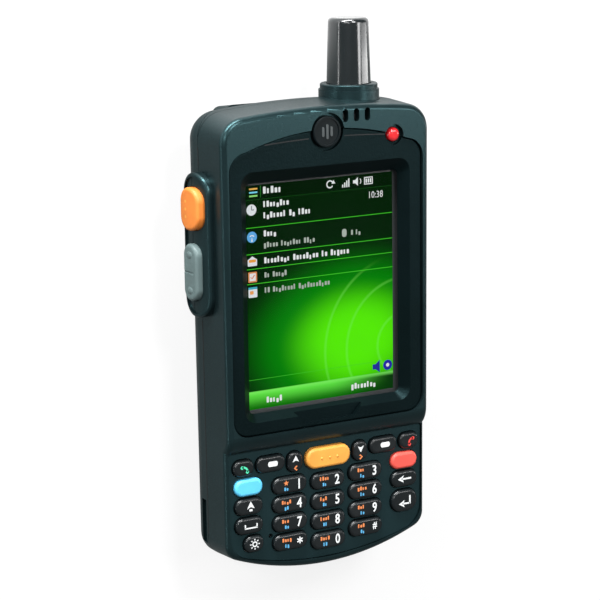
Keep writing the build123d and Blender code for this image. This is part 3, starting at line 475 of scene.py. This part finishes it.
def node_middle(name):
    """Centre of a CAD node in plan, in millimetres."""
    low, high = node_box(name)
    return (low[0] + high[0]) / 2, (low[1] + high[1]) / 2


def add_mesh(name, points, faces, finish):
    """A mesh from points in millimetres, with one finish."""
    mesh = bpy.data.meshes.new(name)
    mesh.from_pydata((np.array(points) * MM).tolist(), [], faces)
    mesh.materials.append(finish.material)
    return mesh


def add_piece(mesh, body):
    """A piece for a mesh, named like it, that rides on a body and takes its finish from a slot."""
    piece = bpy.data.objects.new(mesh.name, mesh)
    bpy.context.scene.collection.objects.link(piece)
    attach(piece, body)
    return piece


# ---------------------------------------------------------------- flat marks

def pill(x, y, width, length, radius=None):
    """Closed outline of a rounded rectangle: four quarter circles of one radius round its corners."""
    radius = min(width, length) / 2 if radius is None else radius
    turn = np.linspace(0, 2 * np.pi, CIRCLE_STEPS, endpoint=False) + np.pi / CIRCLE_STEPS
    reach_x = (width / 2 - radius) * np.sign(np.cos(turn))
    reach_y = (length / 2 - radius) * np.sign(np.sin(turn))
    return np.stack([x + reach_x + radius * np.cos(turn), y + reach_y + radius * np.sin(turn)], axis=1)


def disc(x, y, radius):
    """Closed outline of a circle."""
    return pill(x, y, 2 * radius, 2 * radius)


def turned(points, degrees, x=0.0, y=0.0):
    """Points turned anticlockwise about x, y."""
    angle = math.radians(degrees)
    away = np.asarray(points, float) - (x, y)
    spin = np.array([[math.cos(angle), math.sin(angle)], [-math.sin(angle), math.cos(angle)]])
    return away @ spin + (x, y)


def arrow(x, y, size, heading):
    """Outline of an arrowhead with a notched base, heading in degrees."""
    points = [(x, y + 0.62 * size), (x - 0.55 * size, y - 0.38 * size), (x, y - 0.14 * size),
              (x + 0.55 * size, y - 0.38 * size)]
    return turned(points, heading, x, y)


class Marks:
    """Flat filled shapes in millimetres on one level, each with its own ink, made into one mesh."""

    def __init__(self, level):
        self.level = level
        self.points = []
        self.faces = []
        self.inks = []

    def add_points(self, spots, lift=0.0):
        """Adds points at this level plus a lift, and gives the number of the first."""
        first = len(self.points)
        self.points += np.column_stack([spots, np.full(len(spots), self.level + lift)]).tolist()
        return first

    def fill(self, outline, ink, lift=0.0):
        """One closed outline filled with one ink; it is turned anticlockwise where it isn't."""
        outline = np.asarray(outline, float)
        ahead = np.roll(outline, -1, axis=0)
        area = np.sum(outline[:, 0] * ahead[:, 1] - outline[:, 1] * ahead[:, 0])
        if area < 0:
            outline = outline[::-1]
        first = self.add_points(outline, lift)
        self.faces.append(tuple(range(first, first + len(outline))))
        self.inks.append(ink)

    def stroke(self, line, width, ink, lift=0.0):
        """A band of even width along a line: its points pushed out both ways along its normal."""
        line = np.asarray(line, float)
        run = np.gradient(line, axis=0)
        run /= np.linalg.norm(run, axis=1, keepdims=True)
        side = np.stack([-run[:, 1], run[:, 0]], axis=1) * width / 2
        self.fill(np.concatenate([line - side, (line + side)[::-1]]), ink, lift)

    def arc(self, x, y, radius, start, end, width, ink, lift=0.0):
        """A band along part of a circle, between two angles in degrees."""
        turn = np.radians(np.linspace(start, end, STROKE_STEPS))
        line = np.stack([x + radius * np.cos(turn), y + radius * np.sin(turn)], axis=1)
        self.stroke(line, width, ink, lift)

    def digits(self, words, x, y, height, ink, squeeze=0.86, bold=0.0):
        """Plain numerals from the built-in face, centred at x, y."""
        curve = bpy.data.curves.new("numeral", "FONT")
        curve.body = words
        curve.align_x = "CENTER"
        curve.offset = bold
        curve.resolution_u = 3
        maker = bpy.data.objects.new("numeral", curve)
        bpy.context.scene.collection.objects.link(maker)
        bpy.context.view_layer.update()
        made = bpy.data.meshes.new_from_object(maker)
        spots = np.empty((len(made.vertices), 3))
        made.vertices.foreach_get("co", spots.ravel())
        spots = spots[:, :2]
        middle = (spots.min(axis=0) + spots.max(axis=0)) / 2
        spots = (spots - middle) * height / np.ptp(spots[:, 1]) * (squeeze, 1.0) + (x, y)
        first = self.add_points(spots)
        self.faces += [tuple(first + corner for corner in face.vertices) for face in made.polygons]
        self.inks += [ink] * len(made.polygons)
        bpy.data.objects.remove(maker)
        bpy.data.curves.remove(curve)
        bpy.data.meshes.remove(made)

    def blocks(self, x, y, lengths, height, ink, seed=1, step=0.62):
        """Stand-in for a line of type: small upright blocks in groups.

        The first and every fourth are tall, every third is narrow and every seventh hangs low.
        """
        place = x
        count = seed
        for length in lengths:
            for letter in range(length):
                count += 1
                tall = height * (1.0 if letter == 0 or count % 4 == 0 else 0.72)
                drop = height * 0.2 if count % 7 == 0 else 0.0
                wide = height * step * (0.7 if count % 3 else 0.5)
                self.fill(pill(place + wide / 2, y + tall / 2 - drop, wide, tall, 0.3 * wide), ink)
                place += height * step
            place += height * step * 0.8

    def build(self, name, finish, body, thickness=0.0):
        """One piece of all the shapes, riding on a body."""
        mesh = add_mesh(name, self.points, self.faces, finish)
        corners = np.repeat([(*ink, 1.0) for ink in self.inks], [len(face) for face in self.faces], axis=0)
        colour = mesh.color_attributes.new("ink", "FLOAT_COLOR", "CORNER")
        colour.data.foreach_set("color", corners.ravel())
        piece = add_piece(mesh, body)
        if thickness:
            wall = piece.modifiers.new("ink_thickness", "SOLIDIFY")
            wall.thickness = thickness * MM
            wall.offset = 1.0


# ---------------------------------------------------------------- picture on the display

def lit_picture():
    """The lit area of the display: one flat rectangle just over the module's face."""
    sheet = Marks(node_top("lcd_module") + OVERLAP)
    half_x = DISPLAY_WIDTH / 2
    half_y = DISPLAY_LENGTH / 2
    sheet.fill([(-half_x, -half_y), (half_x, -half_y), (half_x, half_y), (-half_x, half_y)], WHITE)
    sheet.build("display_picture", lit_green(), "terminal")


def row_lines(marks):
    """Thin lines across the display between its rows."""
    half = DISPLAY_WIDTH / 2
    for y in ROW_LINES:
        marks.stroke([(-half, y), (half, y)], 0.22, (0.05, 0.62, 0.02))
    marks.stroke([(-half, TRAY_LINE), (half, TRAY_LINE)], 0.12, (0.06, 0.66, 0.03))
    marks.stroke([(-half, TITLE_LINE), (half, TITLE_LINE)], 0.12, (0.01, 0.10, 0.01))


def title_bar(marks):
    """Title bar: a menu sign of three bars, a title, and the signs for link, signal, sound and battery."""
    for row, ink in enumerate(((0.9, 0.5, 0.1), (0.2, 0.7, 0.9), (0.3, 0.8, 0.2))):
        marks.stroke([(-25.3, 34.4 - row * 1.1), (-22.4, 34.4 - row * 1.1)], 0.5, ink)
    marks.stroke([(-21.3, 31.6), (-21.3, 35.2)], 0.2, (0.02, 0.22, 0.02))
    marks.blocks(TEXT_COLUMN, 32.6, (5,), 2.2, WHITE)
    marks.arc(3.6, TITLE_MIDDLE, 1.1, 30, 330, 0.4, WHITE)
    marks.fill([(4.2, 33.5), (5.6, 33.5), (4.9, 34.7)], WHITE)
    for bar in range(4):
        marks.fill(pill(8.3 + bar * 0.75, 32.4 + 0.3 * bar, 0.45, 0.9 + 0.6 * bar, 0.05), WHITE)
    marks.fill([(12.1, 32.9), (12.9, 32.9), (13.9, 32.0), (13.9, 34.8), (12.9, 33.9), (12.1, 33.9)], WHITE)
    marks.arc(13.8, TITLE_MIDDLE, 1.2, -40, 40, 0.3, WHITE)
    for edge in ([(16.2, 32.3), (19.4, 32.3)], [(16.2, 34.4), (19.4, 34.4)],
                 [(16.35, 32.3), (16.35, 34.4)], [(19.25, 32.3), (19.25, 34.4)]):
        marks.stroke(edge, 0.3, WHITE)
    for cell in range(3):
        marks.fill(pill(17.0 + 0.8 * cell, 33.35, 0.5, 1.3, 0.05), WHITE)


def clock_row(marks):
    """Time and date: a round clock, two lines of type, and the time on the right."""
    hand = (0.1, 0.12, 0.15)
    marks.digits("10:38", 20.6, 28.7, 2.1, WHITE)
    marks.fill(disc(SIGN_COLUMN, 27.9, 1.75), PAPER)
    marks.stroke([(SIGN_COLUMN, 28.0), (SIGN_COLUMN, 29.2)], 0.25, hand, OVERLAP)
    marks.stroke([(SIGN_COLUMN, 27.9), (SIGN_COLUMN + 0.9, 27.9)], 0.25, hand, OVERLAP)
    marks.blocks(TEXT_COLUMN, 28.4, (8,), 1.9, WHITE, seed=2)
    marks.blocks(TEXT_COLUMN, 24.9, (7, 2, 4), 1.9, WHITE, seed=5)


def network_row(marks):
    """Network: a blue disc with a mast, a name, a paler line below it and a small state sign."""
    marks.fill(disc(SIGN_COLUMN, 19.4, 1.75), (0.12, 0.42, 0.80))
    marks.arc(SIGN_COLUMN, 18.9, 1.0, 40, 140, 0.3, WHITE, OVERLAP)
    marks.fill([(SIGN_COLUMN - 0.3, 18.0), (SIGN_COLUMN + 0.3, 18.0), (SIGN_COLUMN, 19.4)], WHITE, OVERLAP)
    marks.blocks(TEXT_COLUMN, 19.2, (4,), 1.9, WHITE, seed=3)
    marks.blocks(TEXT_COLUMN, 15.7, (5, 7, 4), 1.7, PALE, seed=6)
    marks.fill(pill(8.7, 17.4, 1.7, 2.6, 0.8), PALE)
    marks.blocks(11.2, 16.5, (1, 2), 1.6, PALE, seed=4)


def message_rows(marks):
    """Messages, tasks and calendar: an envelope, a ticked sheet and a leaf, each with its line."""
    envelope = (0.78, 0.80, 0.84)
    marks.fill(pill(SIGN_COLUMN, 11.4, 3.3, 2.2, 0.3), envelope)
    marks.fill([(SIGN_COLUMN - 1.6, 12.3), (SIGN_COLUMN + 1.6, 12.3), (SIGN_COLUMN, 13.4)], envelope)
    marks.fill(pill(SIGN_COLUMN, 11.9, 2.5, 0.9, 0.3), (0.85, 0.35, 0.06), OVERLAP)
    marks.blocks(TEXT_COLUMN, 10.7, (8, 8, 2, 6), 1.9, WHITE, seed=7)

    marks.fill(pill(SIGN_COLUMN, 6.8, 3.1, 3.3, 0.3), (0.72, 0.27, 0.10))
    marks.fill(pill(SIGN_COLUMN, 6.8, 2.2, 2.4, 0.1), (0.82, 0.82, 0.80), OVERLAP)
    tick = [(SIGN_COLUMN - 0.7, 6.9), (SIGN_COLUMN - 0.2, 6.3), (SIGN_COLUMN + 0.7, 7.5)]
    marks.stroke(tick, 0.35, (0.75, 0.2, 0.08), 2 * OVERLAP)
    marks.blocks(TEXT_COLUMN, 6.2, (2, 5), 1.7, PALE, seed=1)

    marks.fill(pill(SIGN_COLUMN, 2.0, 3.1, 3.3, 0.3), (0.78, 0.82, 0.86))
    marks.fill(pill(SIGN_COLUMN, 3.3, 3.1, 0.7, 0.1), (0.05, 0.42, 0.55), OVERLAP)
    marks.fill(pill(SIGN_COLUMN - 0.4, 1.9, 1.3, 1.1, 0.2), (0.85, 0.35, 0.1), OVERLAP)
    marks.blocks(TEXT_COLUMN, 1.4, (2, 8, 11), 1.7, PALE, seed=2)


def tray_and_soft_keys(marks):
    """Foot of the display: two tray signs on the right, and two soft key titles below them."""
    marks.fill([(18.9, -28.5), (20.0, -28.5), (21.6, -29.7), (21.6, -25.5), (20.0, -26.8), (18.9, -26.8)],
               (0.02, 0.03, 0.35))
    marks.fill(disc(24.6, -27.6, 1.7), (0.02, 0.02, 0.40))
    marks.fill(disc(24.6, -27.6, 0.6), WHITE, OVERLAP)
    marks.blocks(TEXT_COLUMN, -33.9, (5,), 1.9, WHITE, seed=3)
    marks.blocks(10.8, -33.9, (8,), 1.9, WHITE, seed=6)


def display_marks():
    """Rows, separators and small signs shown on the display, as one lit piece."""
    marks = Marks(node_top("lcd_module") + 3 * OVERLAP)
    for draw in (row_lines, title_bar, clock_row, network_row, message_rows, tray_and_soft_keys):
        draw(marks)
    marks.build("display_marks", inked("display_marks", lit=1.0), "terminal")


# ---------------------------------------------------------------- key print

def soft_sign(marks, x, y):
    """Plain bar."""
    marks.fill(pill(x + 0.5, y, 3.5, 1.7, 0.7), WHITE)


def step_sign(marks, x, y, heading, side):
    """Arrowhead up or down, and below it an orange chevron to the left (-1) or to the right (1)."""
    marks.fill(arrow(x, y + 0.85, 2.1, heading), WHITE)
    chevron = [(x - side * 0.4, y - 1.3), (x + side * 0.45, y - 2.0), (x - side * 0.4, y - 2.7)]
    marks.stroke(chevron, 0.5, ORANGE)


def handset_sign(marks, x, y, tilt, ink):
    """Telephone handset: a bent grip with a block at both ends."""
    x, y = x + 0.4, y - 0.1
    grip = [(x - 1.25, y - 0.35), (x - 0.7, y + 0.12), (x, y + 0.28),
            (x + 0.7, y + 0.12), (x + 1.25, y - 0.35)]
    marks.stroke(turned(grip, tilt, x, y), 0.62, ink)
    for end in (-1, 1):
        marks.fill(turned(pill(x + end * 1.2, y - 0.42, 0.95, 1.0, 0.25), tilt, x, y), ink)


def shift_sign(marks, x, y):
    """Upward arrow on a short foot."""
    marks.fill(arrow(x + 0.3, y + 0.3, 2.4, 0), WHITE)
    marks.fill(pill(x + 0.3, y - 1.1, 1.1, 0.7, 0.1), WHITE)


def space_sign(marks, x, y):
    """Flat bracket, open at its top."""
    marks.stroke([(x - 1.8, y + 0.6), (x - 1.8, y - 0.7)], 0.45, WHITE)
    marks.stroke([(x - 2.0, y - 0.7), (x + 2.6, y - 0.7)], 0.45, WHITE)
    marks.stroke([(x + 2.4, y - 0.7), (x + 2.4, y + 0.6)], 0.45, WHITE)


def backspace_sign(marks, x, y):
    """Arrow to the left."""
    marks.fill(arrow(x - 1.3, y, 2.2, 90), WHITE)
    marks.stroke([(x - 1.3, y), (x + 2.4, y)], 0.55, WHITE)


def enter_sign(marks, x, y):
    """Arrow down and to the left, round a corner."""
    marks.fill(arrow(x - 1.0, y - 1.0, 2.2, 90), WHITE)
    marks.stroke([(x - 1.0, y - 1.0), (x + 1.9, y - 1.0)], 0.55, WHITE)
    marks.stroke([(x + 1.9, y - 1.27), (x + 1.9, y + 1.6)], 0.55, WHITE)


def backlight_sign(marks, x, y):
    """Ring with eight rays."""
    marks.arc(x, y, 0.75, 0, 350, 0.4, WHITE)
    for ray in range(8):
        marks.stroke(turned([(x + 1.25, y), (x + 1.75, y)], ray * 45, x, y), 0.35, WHITE)


def number_signs(marks, name, x, y, place):
    """Large white numeral on the right of the cap, small orange and blue signs on the left."""
    right = x + 3.1
    if name == "star":
        for heading in (30, 90, 150):
            spoke = turned([(right - 1.1, y), (right + 1.1, y)], heading, right, y)
            marks.stroke(spoke, 0.42, WHITE, OVERLAP * heading / 90)
    elif name == "hash":
        marks.digits("#", right, y, 2.4, WHITE, squeeze=0.8, bold=0.02)
    else:
        marks.digits(name, right, y, 3.3, WHITE, squeeze=0.8, bold=0.02)
    if name == "1":
        reach = np.where(np.arange(10) % 2, 0.4, 0.95)
        turn = np.arange(10) * np.pi / 5
        star = np.stack([reach * np.sin(turn), reach * np.cos(turn)], axis=1)
        marks.fill(star + (x - 1.6, y + 0.8), ORANGE)
    else:
        marks.blocks(x - 3.3, y + 0.2, (3 if place % 2 else 4,), 1.25, ORANGE, seed=place, step=0.72)
    marks.blocks(x - 2.3, y - 1.7, (2,), 1.15, BLUE, seed=place + 2, step=0.72)


# Each key's sign, with what that sign needs; keys without one are plain or carry numbers
KEY_SIGNS = {
    "soft_left": (soft_sign,),
    "soft_right": (soft_sign,),
    "up": (step_sign, 0, -1),
    "down": (step_sign, 180, 1),
    "call": (handset_sign, -40, GREEN),
    "end": (handset_sign, 55, RED),
    "shift": (shift_sign,),
    "space": (space_sign,),
    "backspace": (backspace_sign,),
    "enter": (enter_sign,),
    "backlight": (backlight_sign,),
}


def key_print():
    """Print on every keycap, riding on its own key; the coloured keys stay plain."""
    finish = inked("key_print")
    keys = [name for name in frame["nodes"] if name.startswith("key_")]
    for place, node in enumerate(keys):
        name = node[len("key_"):]
        x, y = node_middle(node)
        marks = Marks(node_top(node) + PRINT_GAP)
        if name in ("star", "hash") or name.isdigit():
            number_signs(marks, name, x, y, place)
        elif name in KEY_SIGNS:
            draw, *needs = KEY_SIGNS[name]
            draw(marks, x, y, *needs)
        else:
            continue
        marks.build(node + "_print", finish, node + "_body", thickness=INK_LIFT)


# ---------------------------------------------------------------- small raised details

def dome(x, y, z, radius, height, side="top", stretch=1.0):
    """A low bump of circles of points, facing up, left or right.

    Each circle's radius is the sine of its way from the middle, and its rise is the cosine.
    """
    way = np.linspace(0.0, np.pi / 2, DOME_RINGS)
    turn = np.linspace(0, 2 * np.pi, CIRCLE_STEPS, endpoint=False)
    flat = np.outer(np.sin(way), np.ones_like(turn)) * radius
    rise = np.outer(np.cos(way), np.ones_like(turn)) * height
    first, second = flat * np.cos(turn), flat * np.sin(turn) * stretch
    if side == "left":
        return np.stack([x - rise, y - first, z + second], axis=-1)
    if side == "right":
        return np.stack([x + rise, y + first, z + second], axis=-1)
    return np.stack([x + first, y + second, z + rise], axis=-1)


def bumps(domes, name, slot, body):
    """Several domes as one smooth piece; a weld closes the pole of each."""
    points, faces = [], []
    for spots in domes:
        rings, columns = spots.shape[:2]
        grid = np.arange(rings * columns).reshape(rings, columns) + len(points)
        ahead = np.roll(grid, -1, axis=1)
        faces += np.stack([grid[:-1], grid[1:], ahead[1:], ahead[:-1]], axis=-1).reshape(-1, 4).tolist()
        points += spots.reshape(-1, 3).tolist()
    mesh = add_mesh(name, points, faces, FINISHES[slot])
    mesh.shade_smooth()
    weld = add_piece(mesh, body).modifiers.new("weld", "WELD")
    weld.merge_threshold = 0.01 * MM


def button_details():
    """Raised dots on the scan key and on both scan buttons, and grip bumps on the rocker.

    The foot of each is sunk a little in the face that carries it.
    """
    x, y = node_middle("key_scan")
    level = node_top("key_scan") - 0.02
    dots = [dome(x + shift, y - 0.2, level, 0.42, 0.22) for shift in (-2.7, 0.3, 3.1)]
    bumps(dots, "scan_key_dots", "orange_key", "key_scan_body")

    for node, side in (("scan_trigger", "left"), ("right_scan_button", "right")):
        low, high = node_box(node)
        middle = (low + high) / 2
        face = low[0] + 0.29 if side == "left" else high[0] - 0.29
        dots = [dome(face, middle[1] + step, middle[2] - 1.2, 1.0, 0.3, side) for step in (-2.4, 0, 2.4)]
        bumps(dots, node + "_dots", "orange_key", node + "_body")

    low, high = node_box("volume_rocker")
    middle = (low + high) / 2
    ends = [dome(low[0] + 0.55, middle[1] + step, middle[2], 1.5, 0.75, "left", 1.3)
            for step in (-5.6, 5.6)]
    bumps(ends, "rocker_grips", "grey_button", "volume_rocker_body")


def emblem_relief():
    """Plain sign in the emblem: three upright bars of uneven height."""
    x, y = node_middle("emblem_disc")
    marks = Marks(node_top("emblem_disc") - RELIEF_DEPTH)
    for shift, tall in ((-1.5, 3.0), (0.0, 4.6), (1.5, 3.0)):
        marks.fill(pill(x + shift, y, 0.8, tall), (0.05, 0.06, 0.062))
    marks.build("emblem_relief", inked("relief_satin"), "terminal", thickness=RELIEF_HEIGHT)


def brow_lines():
    """Dark lines of painted shade along the step that follows the bezel's crown from the emblem to both
    sides.
    """
    marks = Marks(node_top("display_bezel") + PRINT_GAP)
    for start, end in BROW_STRETCHES:
        across = np.linspace(start, end, STROKE_STEPS)
        crown = np.stack([across, BROW_PEAK - across ** 2 / BROW_SPREAD], axis=1)
        marks.stroke(crown, 0.32, (0.004, 0.005, 0.006))
    marks.build("brow_lines", inked("seam_shade"), "terminal", thickness=0.02)


def half_width(y):
    """Half width of the body on the parting line, which falls evenly from the antenna end to the foot."""
    return SIDE_FOOT + (SIDE_TOP - SIDE_FOOT) * (y + FOOT_REACH) / (FOOT_REACH + END_REACH)


def parting_shadow():
    """Dark shade along the seam between the two housings, on the straight stretches of both sides.

    Each stretch is a thin closed bar along x = half_width(y); its outer face is SEAM_PROUD outside it.
    """
    section = ((SEAM_PROUD, -1), (SEAM_PROUD, 1), (-SEAM_SUNK, 1), (-SEAM_SUNK, -1))
    around = np.array([(0, 1, 2, 3), (7, 6, 5, 4), (0, 4, 5, 1), (1, 5, 6, 2), (2, 6, 7, 3), (3, 7, 4, 0)])
    corners, faces = [], []
    for side in (-1, 1):
        for stretch in SEAM_STRETCHES:
            quads = around + len(corners)
            faces += (quads if side > 0 else quads[:, ::-1]).tolist()
            corners += [(side * (half_width(y) + depth), y, PARTING_LEVEL + level * SEAM_WIDTH / 2)
                        for y in stretch for depth, level in section]
    finish = moulded("seam_dark", (0.002, 0.002, 0.002), 0.7)
    add_piece(add_mesh("parting_shadow", corners, faces, finish), "terminal")


lit_picture()
display_marks()
parting_shadow()
key_print()
button_details()
emblem_relief()
brow_lines()


# ---------------------------------------------------------------- floor, light and camera

def softbox(name, place, target, width, length, power):
    """A rectangular lamp that faces a target."""
    lamp = bpy.data.lights.new(name, "AREA")
    lamp.shape = "RECTANGLE"
    lamp.size = width
    lamp.size_y = length
    lamp.energy = power
    piece = bpy.data.objects.new(name, lamp)
    piece.location = place
    aim = np.array(target, float) - np.array(place, float)
    flat = math.hypot(aim[0], aim[1])
    piece.rotation_euler = (math.atan2(flat, -aim[2]), 0.0, math.atan2(aim[0], -aim[1]) + math.pi)
    bpy.context.scene.collection.objects.link(piece)


def floor():
    """Pale floor that reads as plain white, keeps a soft shadow and throws little light back."""
    mesh = bpy.data.meshes.new("floor")
    corners = [(x * FLOOR_HALF, y * FLOOR_HALF, FLOOR_LEVEL)
               for x, y in ((-1, -1), (1, -1), (1, 1), (-1, 1))]
    mesh.from_pydata(corners, [], [(0, 1, 2, 3)])
    finish = Finish("floor_white", FLOOR_PALE, 0.9, specular=0.0)
    seen = finish.mix(finish.noise(3.0), FLOOR_PALE, FLOOR_CLOUD)
    y = finish.coordinate("Y")
    bounce = finish.mix(y.ramp(*CARD_EDGE), FLOOR_BOUNCE, CARD_BOUNCE)
    eye = finish.node("ShaderNodeLightPath", {}, {}).out("Is Camera Ray")
    finish.put(Base_Color=finish.mix(eye, bounce, seen))
    white = finish.node("ShaderNodeEmission", {}, {"Color": PURE_WHITE, "Strength": 1.0})
    both = finish.node("ShaderNodeMixShader", {}, {0: finish.backdrop_share(FLOOR_WHITE),
                                                   1: finish.shader.out(), 2: white.out()})
    finish.feed(finish.end.made.inputs["Surface"], both.out())
    mesh.materials.append(finish.material)
    piece = bpy.data.objects.new("floor", mesh)
    bpy.context.scene.collection.objects.link(piece)


def world():
    """White surroundings as the camera sees them, and a weaker even light on everything."""
    made = bpy.data.worlds.new("studio")
    bpy.context.scene.world = made
    made.use_nodes = True
    nodes = Nodes(made.node_tree)
    light = nodes.node("ShaderNodeBackground", {}, {"Color": PURE_WHITE, "Strength": FILL_LIGHT})
    plain = nodes.node("ShaderNodeBackground", {}, {"Color": PURE_WHITE, "Strength": 1.0})
    both = nodes.node("ShaderNodeMixShader", {}, {0: nodes.backdrop_share(1.0),
                                                  1: light.out(), 2: plain.out()})
    nodes.node("ShaderNodeOutputWorld", {}, {"Surface": both.out()})


def camera():
    """The camera that the scene is seen through."""
    lens = bpy.data.cameras.new("camera")
    lens.angle = 2 * math.atan(FRAME_HALF / FOCAL_LENGTH)
    piece = bpy.data.objects.new("camera", lens)
    piece.location = CAMERA_PLACE
    piece.rotation_euler = [math.radians(turn) for turn in CAMERA_TURNS]
    bpy.context.scene.collection.objects.link(piece)
    bpy.context.scene.camera = piece


floor()
world()
camera()
softbox("rear_light", (-0.30, 1.0, 0.28), (0, 0.03, 0.03), 1.0, 0.22, 30.0)
softbox("left_light", (-1.0, 0.1, 0.10), (0, 0, 0.01), 1.3, 0.03, 2.0)
softbox("edge_light", (-0.8, 0.45, 1.0), (0, 0, 0.03), 0.10, 0.8, 5.0)
softbox("right_light", (1.0, 0.0, 0.30), (0, 0, 0.03), 0.05, 1.2, 1.5)
softbox("front_light", (0.70, 0.15, 1.2), (0, 0.03, 0.03), 0.35, 0.35, 4.0)
softbox("top_light", (0.05, 0.75, 1.2), (0, 0, 0.03), 0.35, 0.35, 12.0)
bpy.context.scene.view_settings.view_transform = "Standard"
